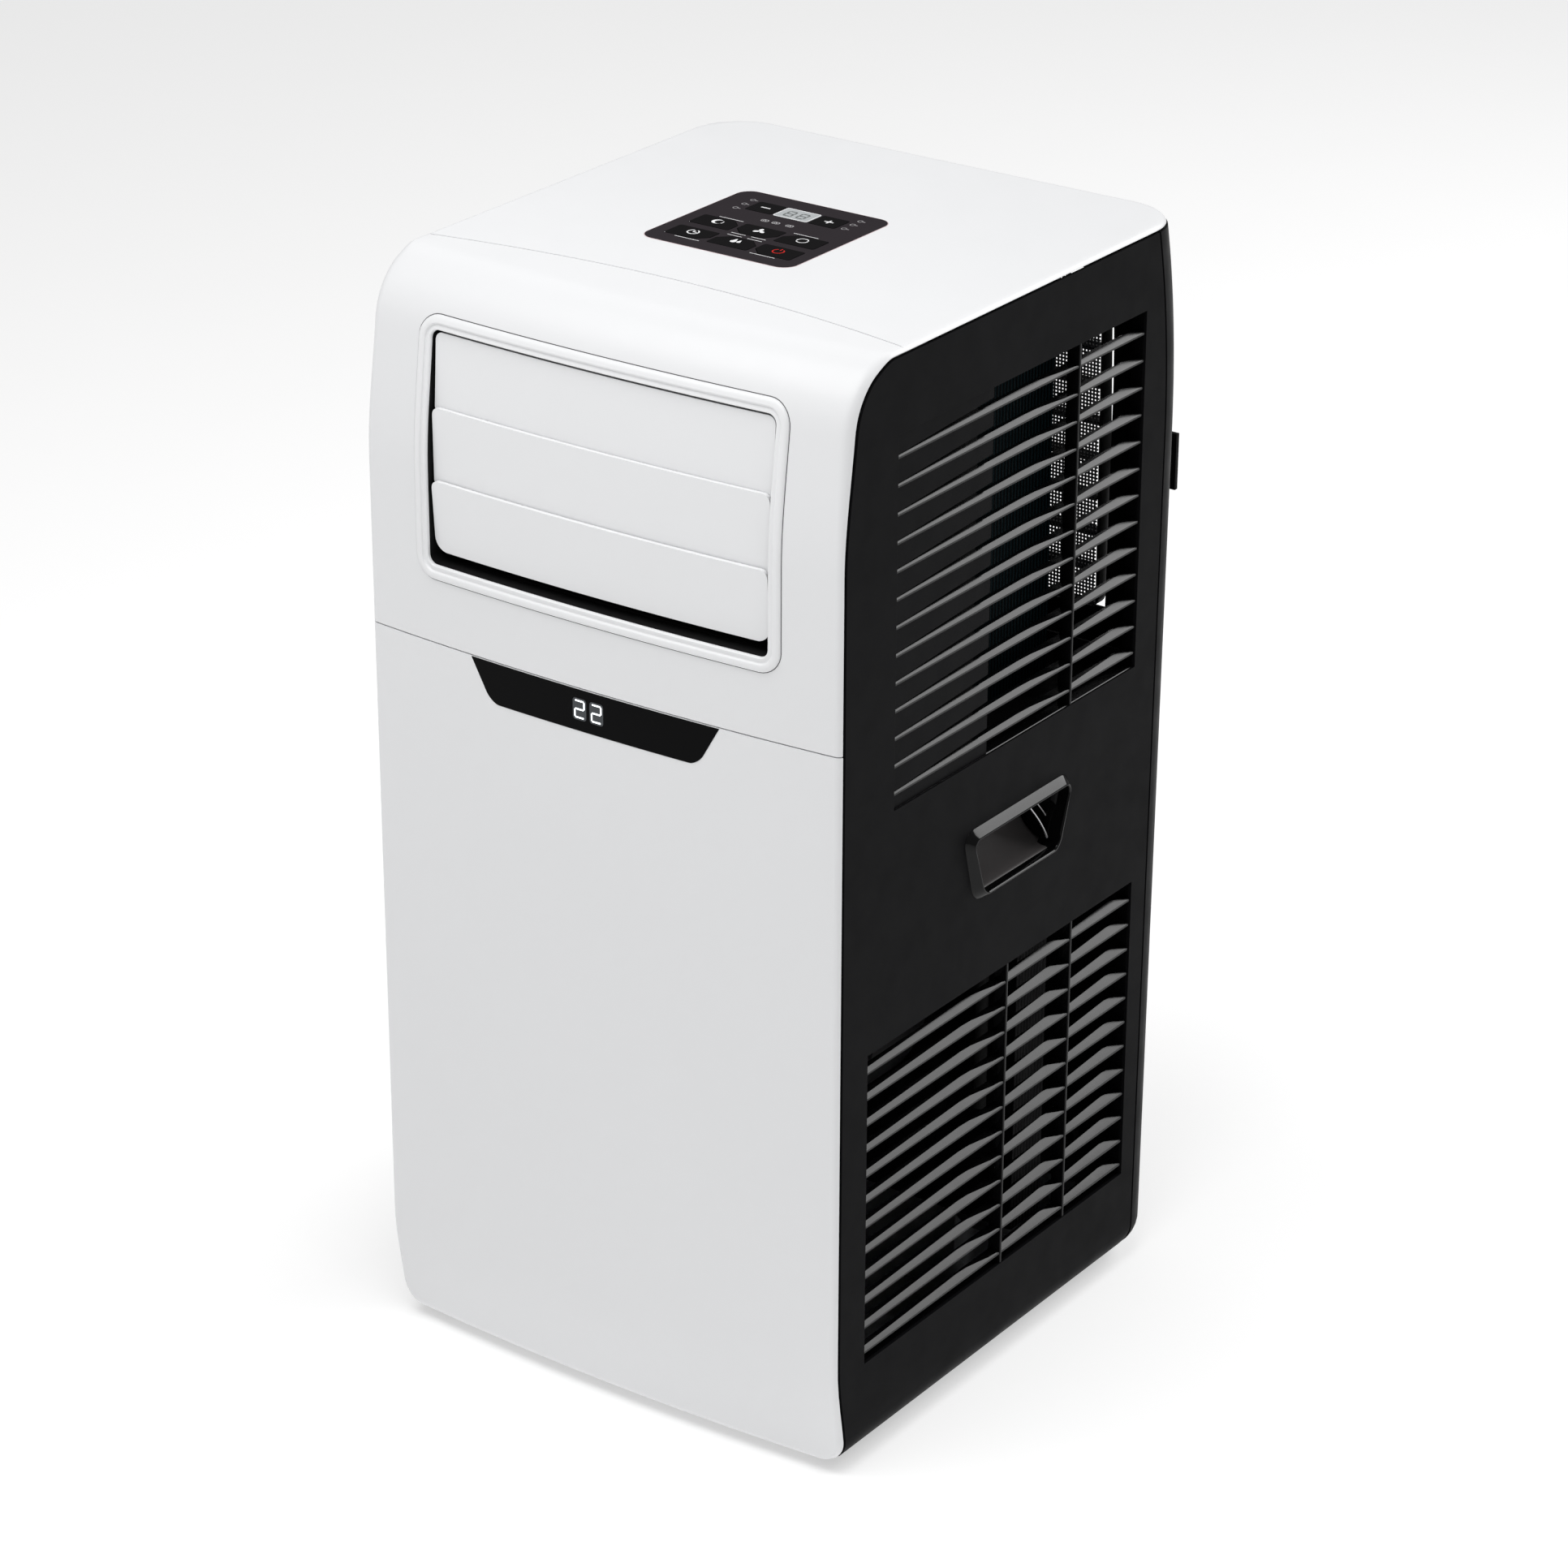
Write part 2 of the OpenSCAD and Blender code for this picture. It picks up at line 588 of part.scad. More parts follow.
/* Flaps: shingled, each with its top edge ahead of the foot of the one above */
flap_half = hole_half - 1.6;
flap_over = 2.5;
flap_tilt_in = flap_t + 0.6;
function flap_front(z) = front_y(z) + 2.2;
function flap_pivot_y(i) = flap_front(flap_z(i)) + 9;
flap_pin_r = 2.5;
duct_gap = 3;
duct_t = 2;
flap_pin_len = hole_half + duct_gap + duct_t - flap_half + 0.8;
module flap(i, round_top, round_low) {
  z1 = flap_z(i) + flap_pitch / 2;
  z0 = flap_z(i) - flap_pitch / 2 - ((i < 2) ? flap_over : 0);
  yt = flap_front(z1);
  yl = flap_front(z0) + flap_tilt_in;
  zc = flap_z(i);
  yc = flap_pivot_y(i);
  r = 5;
  r_low = (i < 2) ? 2 : 9;
  over = 2;
  difference() {
    intersection() {
      // Bowed plate, a slice of a large upright cylinder, leaning with the front
      along_y(concat(corner_arc([-flap_half, z0], [-flap_half, z1], [flap_half, z1], r),
        corner_arc([-flap_half, z1], [flap_half, z1], [flap_half, z0], r),
        corner_arc([flap_half, z1], [flap_half, z0], [-flap_half, z0], r_low),
        corner_arc([flap_half, z0], [-flap_half, z0], [-flap_half, z1], r_low)), y_mid - 20, y_edge + 60);
      flap_plate(z0 - over, z1 + over, yl - over * (yt - yl) / (z1 - z0), yt + over * (yt - yl) / (z1 - z0));
    }
  }
  // Hinge arms and pins at both ends
  ye = (yl + yt) / 2 - front_bow * (1 - sq(flap_half / half_w)) + flap_t / 2;
  for (s = [-1, 1]) {
    along_x([[ye, zc - 4.1], [yc + 4.3, zc - 4.1], [yc + 4.3, zc + 3.9], [ye, zc + 3.9]],
      (s < 0) ? -flap_half + 0.4 : flap_half - 3.4, (s < 0) ? -flap_half + 3.4 : flap_half - 0.4);
    translate([(s < 0) ? -flap_half - flap_pin_len : flap_half - 1, yc, zc]) rotate([0, 90, 0])
      cylinder(r = flap_pin_r, h = flap_pin_len + 1, $fn = small_fn);
  }
}
// Bowed strip in plan, one flap thick, with its front at "y" at the ends of the bow
function flap_ring(y) = let (m = 12, reach = flap_half + 1) concat(
  [for (k = [0:m]) let (x = reach * (2 * k / m - 1)) [x, y - front_bow * (1 - sq(x / half_w))]],
  [for (k = [m:-1:0]) let (x = reach * (2 * k / m - 1)) [x, y + flap_t - front_bow * (1 - sq(x / half_w))]]);
module flap_plate(z0, z1, yl, yt) {
  low = flap_ring(yl);
  high = flap_ring(yt);
  n = len(low);
  polyhedron(
    points = concat([for (p = low) [p[0], p[1], z0]], [for (p = high) [p[0], p[1], z1]]),
    faces = concat([[for (i = [0:n - 1]) i]], [[for (i = [n - 1:-1:0]) n + i]],
      [for (i = [0:n - 1]) [i, n + i, n + (i + 1) % n, (i + 1) % n]])
  );
}
module flap_top() {
  color("white") flap(0);
}
module flap_middle() {
  color("white") flap(1);
}
module flap_bottom() {
  color("white") flap(2);
}

/* Upright vanes behind the flaps */
vane_count = 4;
vane_y = duct_back_y - 15;
vane_w = 22;
vane_pin_r = 2;
function vane_x(i) = (i - (vane_count - 1) / 2) * hole_half * 2 / vane_count;
module vane(i) {
  z0 = hz0 + 3;
  z1 = hz1 - 3;
  color("black") {
    box_at(vane_x(i) - 0.9, vane_x(i) + 0.9, vane_y - vane_w / 2, vane_y + vane_w / 2, z0, z1);
    translate([vane_x(i), vane_y, hz0 - duct_t]) cylinder(r = vane_pin_r, h = hz1 - hz0 + 2 * duct_t, $fn = small_fn);
  }
}
module vane_1() {
  vane(0);
}
module vane_2() {
  vane(1);
}
module vane_3() {
  vane(2);
}
module vane_4() {
  vane(3);
}
module swing_motor() {
  motor_r = 13;
  x0 = hole_half + 3 + 2 + 1;
  color("silver") {
    translate([x0, flap_pivot_y(1) + motor_r, flap_z(1)]) rotate([0, 90, 0]) cylinder(r = motor_r, h = 16, $fn = round_fn);
    box_at(x0, x0 + 2, flap_pivot_y(1) - 2, flap_pivot_y(1) + 2 * motor_r + 2, flap_z(1) - motor_r - 5, flap_z(1) + motor_r + 5);
  }
}

/* Display */
display_taper = 15;
module display_prism(off, y0, y1) {
  t = display_w / 2 + off;
  along_y(concat([[-t, z_seam + 2], [t, z_seam + 2]],
    corner_arc([t, z_seam], [t - display_taper, z_seam - display_h - off], [-t, z_seam - display_h - off], 7),
    corner_arc([t, z_seam - display_h - off], [-t + display_taper, z_seam - display_h - off], [-t, z_seam], 7)), y0, y1);
}
module display_window() {
  m = 17;
  reach = display_w / 2 + 3;
  zl = z_seam - display_h - 4;
  y = y_edge - 0.3;
  ring = concat(
    [for (k = [0:m]) let (x = reach * (2 * k / m - 1)) [x, y - front_bow * (1 - sq(x / half_w))]],
    [for (k = [m:-1:0]) let (x = reach * (2 * k / m - 1)) [x, y + wall + 0.3 - front_bow * (1 - sq(x / half_w))]]);
  color("black") intersection() {
    translate([0, 0, zl]) linear_extrude(z_seam - seam_gap / 4 - 0.1 - zl) polygon(ring);
    display_prism(0, y_mid - 5, y_edge + 20);
  }
}
module display_board() {
  color("green") {
    box_at(-40, 40, y_mid + wall + 4, y_mid + wall + 6, z_seam - display_h + 2, z_seam - 3);
    box_at(-14, 14, y_mid + wall + 1, y_mid + wall + 4, z_seam - display_h + 7, z_seam - 6);
  }
}

/* Controls on the top */
overlay_y = y_mid + body_d * 0.5;
overlay_t = 1;
overlay_z = zt - overlay_t;
key_z0 = overlay_z - 3.4;
key_gap = 0.35;
overlay_r = 9;
function overlay_outline(off) = rounded(rect(overlay_x - overlay_w / 2 - off, overlay_x + overlay_w / 2 + off,
  overlay_y - overlay_w / 2 - off, overlay_y + overlay_w / 2 + off), overlay_r + off);
key_w = key_pitch - 2.2;
key_d = 17;
row_top = overlay_y + overlay_w * 0.29;
row_mid = overlay_y - overlay_w * 0.075;
row_low = overlay_y - overlay_w * 0.3;
cut = 7;
top_key_w = 19;
lcd_w = 25;
top_key_x = lcd_w / 2 + top_key_w / 2 + 1.2;
// Corner chamfers are listed from the near left corner, anticlockwise
function key_shape(w, d, c) = let (x = w / 2, y = d / 2) concat(
  (c[0] > 0) ? [[-x, -y + c[0]], [-x + c[0], -y]] : [[-x, -y]],
  (c[1] > 0) ? [[x - c[1], -y], [x, -y + c[1]]] : [[x, -y]],
  (c[2] > 0) ? [[x, y - c[2]], [x - c[2], y]] : [[x, y]],
  (c[3] > 0) ? [[-x + c[3], y], [-x, y - c[3]]] : [[-x, y]]
);
module key_solid(x, y, w, d, c, off, z0, z1) {
  translate([overlay_x + x, y, z0]) linear_extrude(z1 - z0)
    polygon(rounded(key_shape(w + 2 * off, d + 2 * off, c), 1.5 + off));
}
module key(x, y, w, d, c) {
  color("black") key_solid(x, y, w, d, c, 0, key_z0, zt + 0.4);
}
module key_hole(x, y, w, d, c) {
  key_solid(x, y, w, d, c, key_gap, overlay_z - 10, zt + 10);
}
module control_overlay() {
  color("dimgray") difference() {
    translate([0, 0, overlay_z]) linear_extrude(overlay_t + 0.2) polygon(overlay_outline(0.6));
    key_hole(-top_key_x, row_top, top_key_w, key_d, [0, 0, 0, 0]);
    key_hole(top_key_x, row_top, top_key_w, key_d, [0, 0, 0, 0]);
    key_hole(0, row_top, lcd_w, key_d, [0, 0, 0, 0]);
    key_hole(-key_pitch, row_mid, key_w, key_d, [0, 0, cut, 0]);
    key_hole(0, row_mid, key_w, key_d, [cut, cut, 0, 0]);
    key_hole(key_pitch, row_mid, key_w, key_d, [0, 0, 0, cut]);
    key_hole(-key_pitch, row_low, key_w, key_d, [0, cut, 0, 0]);
    key_hole(0, row_low, key_w, key_d, [0, 0, cut, cut]);
    key_hole(key_pitch, row_low, key_w, key_d, [cut, 0, 0, 0]);
  }
}
module lcd_window() {
  color("lightgray") key_solid(0, row_top, lcd_w, key_d, [0, 0, 0, 0], 0, key_z0, zt + 0.25);
}
module control_board() {
  color("green") translate([0, 0, key_z0 - key_travel - 2.4]) linear_extrude(1.6) polygon(overlay_outline(-3));
}
module key_minus() {
  key(-top_key_x, row_top, top_key_w, key_d, [0, 0, 0, 0]);
}
module key_plus() {
  key(top_key_x, row_top, top_key_w, key_d, [0, 0, 0, 0]);
}
module key_sleep() {
  key(-key_pitch, row_mid, key_w, key_d, [0, 0, cut, 0]);
}
module key_speed() {
  key(0, row_mid, key_w, key_d, [cut, cut, 0, 0]);
}
module key_mode() {
  key(key_pitch, row_mid, key_w, key_d, [0, 0, 0, cut]);
}
module key_timer() {
  key(-key_pitch, row_low, key_w, key_d, [0, cut, 0, 0]);
}
module key_dry() {
  key(0, row_low, key_w, key_d, [0, 0, cut, cut]);
}
module key_power() {
  key(key_pitch, row_low, key_w, key_d, [cut, 0, 0, 0]);
}

/* Casters: an upright stem that turns in the base pan, and a wheel that turns on the fork's pin */
wheel_w = 12;
trail = caster_r * 0.55;
axle_r = 2.5;
module caster_fork(x, y) {
  cheek_t = 2.5;
  top = well_roof - 1.5;
  color("silver") translate([x, y, 0]) {
    translate([0, 0, top - 2.5]) cylinder(r = 10, h = 2.5, $fn = small_fn);
    translate([0, 0, top - 1]) cylinder(r = stem_r, h = 12, $fn = small_fn);
    for (s = [-1, 1]) {
      xc = s * (wheel_w / 2 + 1 + cheek_t / 2);
      along_x([[-7, top], [7, top], [trail + 5, caster_r - 5], [trail - 5, caster_r - 5]], xc - cheek_t / 2, xc + cheek_t / 2);
    }
    box_at(-wheel_w / 2 - 1 - cheek_t, wheel_w / 2 + 1 + cheek_t, -7, 7, top - 2.5, top);
    translate([-wheel_w / 2 - 2, trail, caster_r]) rotate([0, 90, 0]) cylinder(r = axle_r, h = wheel_w + 4, $fn = small_fn);
  }
}
module caster_wheel(x, y) {
  crown = 1.5;
  color("black") translate([x - wheel_w / 2, y + trail, caster_r]) rotate([0, 90, 0])
    rotate_extrude($fn = round_fn)
      polygon([[axle_r + run, 0], [caster_r - crown, 0], [caster_r, crown], [caster_r, wheel_w - crown],
               [caster_r - crown, wheel_w], [axle_r + run, wheel_w]]);
}
module caster_fork_fl() {
  caster_fork(-caster_x, caster_yf);
}
module caster_fork_fr() {
  caster_fork(caster_x, caster_yf);
}
module caster_fork_rl() {
  caster_fork(-caster_x, caster_yr);
}
module caster_fork_rr() {
  caster_fork(caster_x, caster_yr);
}
module caster_wheel_fl() {
  caster_wheel(-caster_x, caster_yf);
}
module caster_wheel_fr() {
  caster_wheel(caster_x, caster_yf);
}
module caster_wheel_rl() {
  caster_wheel(-caster_x, caster_yr);
}
module caster_wheel_rr() {
  caster_wheel(caster_x, caster_yr);
}

/* Rear fittings */
collar_len = 34;
collar_y1 = rear_y(exhaust_z) + 7;
module exhaust_collar() {
  flange = 9;
  color("black") translate([0, collar_y1, exhaust_z]) rotate([90, 0, 0]) difference() {
    union() {
      cylinder(r = exhaust_r + exhaust_wall, h = collar_len, $fn = round_fn);
      translate([0, 0, 2.5]) cylinder(r = exhaust_r + exhaust_wall + flange, h = 2.4, $fn = round_fn);
    }
    translate([0, 0, -1]) cylinder(r = exhaust_r, h = collar_len + 2, $fn = round_fn);
  }
}
module cord_hooks() {
  plate_t = 3;
  plate_w = body_w * 0.1;
  plate_h = 37;
  post = 14;
  y1 = y_rear + hook_reach;
  y0 = rear_y(hook_z) + 0.2;
  color("black") for (s = [-1, 1]) {
    box_at(s * hook_x - plate_w / 2, s * hook_x + plate_w / 2, y1 - plate_t, y1, hook_z - plate_h / 2, hook_z + plate_h / 2);
    box_at(s * hook_x - (s > 0 ? post : 0), s * hook_x + (s > 0 ? 0 : post), y0, y1 - plate_t + eps,
      hook_z - post / 2, hook_z + post / 2);
  }
}
module cord_gland() {
  y1 = rear_y(gland_z) + 5;
  color("black") translate([gland_x, y1, gland_z]) rotate([90, 0, 0]) difference() {
    union() {
      cylinder(r = gland_r, h = 16, $fn = small_fn);
      cylinder(r = gland_r + 3, h = 4, $fn = small_fn);
    }
    translate([0, 0, -1]) cylinder(r = gland_r - 5, h = 20, $fn = small_fn);
  }
}
module drain_plug() {
  y1 = rear_y(drain_z) + 5;
  color("black") translate([drain_x, y1, drain_z]) rotate([90, 0, 0]) {
    cylinder(r = drain_r + 3, h = 4, $fn = small_fn);
    translate([0, 0, 3]) cylinder(r = drain_r - 0.5, h = 14, $fn = small_fn);
  }
}
module filter_frame() {
  t = 2.5;
  slats = 9;
  g = 1;
  half = filter_half - g;
  z0 = filter_z0 + g;
  z1 = filter_z1 - g;
  step = (z1 - z0) / slats;
  color("black") {
    difference() {
      intersection() {
        along_x([[rear_y(z0) - 8, z0], [rear_y(z0), z0], [rear_y(z0 + (z1 - z0) / 2), z0 + (z1 - z0) / 2],
                 [rear_y(z1), z1], [rear_y(z1) - 8, z1]], -half, half);
        along_y(rounded(rect(-half, half, z0, z1), filter_r), y_rear - 60, y_rear + 5);
      }
      for (i = [0:slats - 1], c = [-1, 0, 1]) {
        w = (2 * half - 4 * t) / 3;
        box_at(c * (w + t) - w / 2, c * (w + t) + w / 2, y_rear - 60, y_rear + 5, z0 + step * i + t, z0 + step * (i + 1));
      }
    }
  }
}
module filter_mesh() {
  t = 0.8;
  z0 = filter_z0 + 3;
  z1 = filter_z1 - 3;
  color("gray") along_x([[rear_y(z0) - 10, z0], [rear_y(z0) - 10 + t, z0], [rear_y(z1) - 10 + t, z1],
    [rear_y(z1) - 10, z1]], -filter_half + 3, filter_half - 3);
}
module cover_screws() {
  color("silver") for (x = screw_xs, s = screw_shares) {
    z = zb + body_h * s;
    translate([x, screw_face_y(x, z) + 2.6, z]) rotate([90, 0, 0]) {
      cylinder(r = 4, h = 1.8, $fn = small_fn);
      cylinder(r = screw_r, h = 15, $fn = small_fn);
    }
  }
}
// Face of the rear cover at one place, allowing for its rounded corners
function screw_face_y(x, z) =
  let (w = half_w - side_set(z), c = w - rear_corner_r, o = max(0, abs(x) + 4 - c))
  rear_y(z) - rear_corner_r + sqrt(max(0, sq(rear_corner_r) - sq(min(o, rear_corner_r))));

/* Refrigeration circuit and fans */
module compressor() {
  z0 = base_z + base_t + rubber_h;
  acc_r = compressor_r * 0.42;
  ax = compressor_r + acc_r + 5;
  color("black") {
    translate([0, compressor_y, z0 + 10]) cylinder(r = compressor_r, h = compressor_h - 25, $fn = round_fn);
    translate([0, compressor_y, z0 + compressor_h - 16]) cylinder(r1 = compressor_r, r2 = compressor_r * 0.6, h = 16, $fn = round_fn);
    difference() {
      translate([0, compressor_y, z0]) cylinder(r = foot_r + 10, h = 3, $fn = round_fn);
      for (a = [90, 210, 330]) translate([foot_r * cos(a), compressor_y + foot_r * sin(a), z0 - 1])
        cylinder(r = stud_r + fit, h = 5, $fn = small_fn);
    }
    translate([0, compressor_y, z0]) cylinder(r = compressor_r * 0.7, h = 12, $fn = round_fn);
    translate([ax, compressor_y, z0 + 40]) cylinder(r = acc_r, h = compressor_h - 60, $fn = round_fn);
    box_at(compressor_r * 0.8, ax, compressor_y - 3, compressor_y + 3, z0 + 60, z0 + 72);
  }
}
module compressor_feet() {
  z0 = base_z + base_t;
  color("black") for (a = [90, 210, 330]) translate([foot_r * cos(a), compressor_y + foot_r * sin(a), z0 + fit]) difference() {
    cylinder(r = stud_r * 3, h = rubber_h - 2 * fit, $fn = small_fn);
    translate([0, 0, -1]) cylinder(r = stud_r + fit, h = rubber_h + 2, $fn = small_fn);
  }
}
coil_half = deck_half - 12;
condenser_y = y_mid + body_d * 0.62;
condenser_t = 34;
evap_y = y_mid + body_d * 0.72;
evap_t = 30;
module condenser() {
  z0 = base_z + base_t + 14;
  z1 = zb + body_h * 0.4;
  color("silver") {
    box_at(-coil_half, coil_half, condenser_y, condenser_y + condenser_t, max(z0, well_roof + 22), z1);
  }
}
module evaporator() {
  z0 = z_deck + 6;
  z1 = zt - 34;
  arm_y = blower_box_y1 + 5;
  arm_t = 22;
  half = body_w * 0.342;
  color("teal") {
    box_at(-half, half, evap_y, evap_y + evap_t, z0, z1);
    for (s = [-1, 1]) {
      box_at((s < 0) ? -half : half - arm_t, (s < 0) ? -half + arm_t : half, arm_y, evap_y + eps, z0, z1);
    }
  }
}
blower_z = z_deck + 16 + fan_r + 22;
blower_y0 = duct_back_y + 48;
blower_len = 56;
blower_box_y1 = blower_y0 + blower_len + 10;
hub_r = 12;
shaft_r = 4;
module fan_rotor(y0, len, z) {
  n = 18;
  rim_t = 3;
  color("black") translate([0, y0, z]) rotate([-90, 0, 0]) {
    difference() {
      union() {
        cylinder(r = fan_r, h = rim_t, $fn = round_fn);
        cylinder(r = hub_r, h = len * 0.5, $fn = small_fn);
      }
      translate([0, 0, -1]) cylinder(r = shaft_r + run, h = len, $fn = small_fn);
    }
    translate([0, 0, len - rim_t]) difference() {
      cylinder(r = fan_r, h = rim_t, $fn = round_fn);
      translate([0, 0, -1]) cylinder(r = fan_r * 0.86, h = rim_t + 2, $fn = round_fn);
    }
    for (i = [0:n - 1]) rotate([0, 0, 360 / n * i]) translate([fan_r * 0.88, -1.2, rim_t - eps])
      cube([fan_r * 0.1, 2.4, len - 2 * rim_t + 2 * eps]);
  }
}
module motor(y0, len, z, r) {
  color("silver") translate([0, y0, z]) rotate([-90, 0, 0]) {
    cylinder(r = r, h = len, $fn = round_fn);
    translate([0, 0, len - 1]) cylinder(r = shaft_r, h = 26, $fn = small_fn);
  }
}
motor_r = 34;
blower_motor_y = blower_y0 - 43;
module blower_wheel() {
  fan_rotor(blower_y0, blower_len, blower_z);
}
module blower_motor() {
  motor(blower_motor_y, 36, blower_z, motor_r);
}
module blower_housing() {
  t = 2;
  half = min(coil_half - 26, fan_r * 1.35 + 10);
  z1 = zt - 22;
  z0 = z_deck + 17;
  y0 = duct_back_y + 1;
  color("black") {
    difference() {
      box_at(-half, half, y0, blower_box_y1, z0, z1);
      box_at(-half + t, half - t, y0 + t, blower_box_y1 - t, z0 + t, z1 - t);
      box_at(-min(hole_half, half - 4), min(hole_half, half - 4), y0 - 1, y0 + t + 1, blower_z + motor_r + 6, hz1);
      translate([0, blower_box_y1 - t - 1, blower_z]) rotate([-90, 0, 0])
        cylinder(r = fan_r * 0.82, h = 10, $fn = round_fn);
    }
    // Blanking walls behind the fore part of the side grilles
    for (s = [-1, 1]) {
      x = s * (half_w - side_t - blade_depth - 3);
      box_at(x - 1, x + 1, y_edge + 46, y_mid + body_d * 0.415, z0, z1);
    }
    for (s = [-1, 1], z = [z0, z1 - t]) {
      xa = half - 1;
      xb = half_w - side_t - blade_depth - 3;
      box_at((s < 0) ? -xb : xa, (s < 0) ? -xa : xb, y_mid + body_d * 0.36, y_mid + body_d * 0.38, z, z + t);
    }
  }
}
fan_z = zb + body_h * 0.3;
fan_y0 = condenser_y - 62;
fan_len = 44;
module fan_wheel() {
  fan_rotor(fan_y0, fan_len, fan_z);
}
module fan_motor() {
  motor(fan_y0 - 45, 40, fan_z, motor_r * 0.9);
}
module fan_housing() {
  t = 2;
  clear = 5;
  y0 = fan_y0 - 6;
  y1 = fan_y0 + fan_len + 8;
  r = fan_r + clear;
  chute_y1 = collar_y1 - collar_len - 1;
  chute_half = exhaust_r + 6;
  chute_z0 = zb + body_h * 0.405;
  chute_z1 = z_deck - 6;
  color("black") difference() {
    union() {
      translate([0, y0, fan_z]) rotate([-90, 0, 0]) cylinder(r = r + t, h = y1 - y0, $fn = round_fn);
      box_at(-chute_half - t, chute_half + t, y0, y1, fan_z, chute_z1);
      box_at(-chute_half - t, chute_half + t, y0, chute_y1, chute_z0, chute_z1);
    }
    translate([0, y0 + t, fan_z]) rotate([-90, 0, 0]) cylinder(r = r, h = y1 - y0 - 2 * t, $fn = round_fn);
    box_at(-chute_half, chute_half, y0 + t, y1 - t, fan_z, chute_z1 - t);
    box_at(-chute_half, chute_half, y0 + t, chute_y1 + 1, chute_z0 + t, chute_z1 - t);
    translate([0, y1 - t - 1, fan_z]) rotate([-90, 0, 0]) cylinder(r = fan_r * 0.82, h = 10, $fn = round_fn);
    translate([0, y0 - 1, fan_z]) rotate([-90, 0, 0]) cylinder(r = motor_r + 1.5, h = 10, $fn = round_fn);
  }
}
module pipework() {
  r = 4;
  x = coil_half - 20;
  y = condenser_y - 8;
  z0 = zb + body_h * 0.2;
  z1 = z_deck - 8;
  bend = 14;
  color("orange") for (s = [-1, 1]) {
    translate([s * x, y, z0]) cylinder(r = r, h = z1 - z0 - bend, $fn = small_fn);
    translate([s * x, y - bend, z1 - bend]) rotate([90, 0, 90]) rotate_extrude(angle = 90, $fn = small_fn)
      translate([bend, 0]) circle(r = r, $fn = small_fn);
    translate([s * x, y - bend + 0.01, z1]) rotate([90, 0, 0]) cylinder(r = r, h = 60, $fn = small_fn);
  }
}
module electrics_box() {
  t = 2;
  w = 130;
  z0 = z_deck - 110;
  z1 = z_deck - 12;
  y0 = y_edge + foot_wrap + 6;
  y1 = y0 + 48;
  color("gray") difference() {
    box_at(-w / 2, w / 2, y0, y1, z0, z1);
    box_at(-w / 2 + t, w / 2 - t, y0 + t, y1 - t, z0 + t, z1 - t);
    translate([0, y0 + 24, z0 - 1]) cylinder(r = 8, h = 5, $fn = small_fn);
  }
}

upper_front_panel();
lower_front_panel();
top_cover();
rear_cover();
side_panel_right();
side_panel_left();
handle_cup_right();
handle_cup_left();
base_pan();
deck();
outlet_frame();
outlet_duct();
flap_top();
flap_middle();
flap_bottom();
vane_1();
vane_2();
vane_3();
vane_4();
swing_motor();
display_window();
display_board();
control_overlay();
lcd_window();
control_board();
key_minus();
key_plus();
key_sleep();
key_speed();
key_mode();
key_timer();
key_dry();
key_power();
caster_fork_fl();
caster_fork_fr();
caster_fork_rl();
caster_fork_rr();
caster_wheel_fl();
caster_wheel_fr();
caster_wheel_rl();
caster_wheel_rr();
exhaust_collar();
cord_hooks();
cord_gland();
drain_plug();
filter_frame();
filter_mesh();
compressor();
compressor_feet();
condenser();
evaporator();
blower_wheel();
blower_housing();
fan_wheel();
fan_housing();
blower_motor();
fan_motor();
pipework();
electrics_box();
cover_screws();
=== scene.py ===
"""Looks of a tall portable air conditioner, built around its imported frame.

Sizes are in millimetres inside the classes and become metres when a mesh is made.
"""
import logging
import math
from dataclasses import dataclass, field
from enum import Enum

import bmesh
import bpy
import numpy as np
from mathutils import Matrix, Vector
from mathutils.geometry import tessellate_polygon


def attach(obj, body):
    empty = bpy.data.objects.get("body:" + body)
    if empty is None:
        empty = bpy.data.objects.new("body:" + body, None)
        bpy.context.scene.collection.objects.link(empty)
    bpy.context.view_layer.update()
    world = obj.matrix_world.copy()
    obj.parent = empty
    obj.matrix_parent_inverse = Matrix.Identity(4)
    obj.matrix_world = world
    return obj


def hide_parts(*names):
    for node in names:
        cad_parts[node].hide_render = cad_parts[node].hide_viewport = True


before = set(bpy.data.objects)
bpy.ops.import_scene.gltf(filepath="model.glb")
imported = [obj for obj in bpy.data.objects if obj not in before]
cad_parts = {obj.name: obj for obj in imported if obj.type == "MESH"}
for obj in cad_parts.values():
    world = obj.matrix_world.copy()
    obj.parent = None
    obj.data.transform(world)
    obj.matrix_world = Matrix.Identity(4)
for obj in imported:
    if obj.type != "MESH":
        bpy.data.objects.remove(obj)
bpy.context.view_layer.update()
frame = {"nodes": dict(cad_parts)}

log = logging.getLogger("air_conditioner")
MM = 0.001
WELD = 2e-6  # points closer than this, in metres, become one
SLIVER = 1e-7  # edges shorter than this, in metres, are dissolved
CREASE = math.radians(34)  # edges sharper than this stay sharp
BEVEL_FROM = math.radians(40)  # edges sharper than this are rounded
WAVE = 0.314  # a wave pattern of this scale repeats once a metre
Array = np.ndarray
Colour = tuple[float, float, float]


# ---------------------------------------------------------------- plane geometry
def smooth(share: Array | float) -> Array | float:
    """Smooth step: three times the square minus twice the cube, of a share held between 0 and 1."""
    held = np.clip(share, 0.0, 1.0)
    return held * held * (3.0 - 2.0 * held)


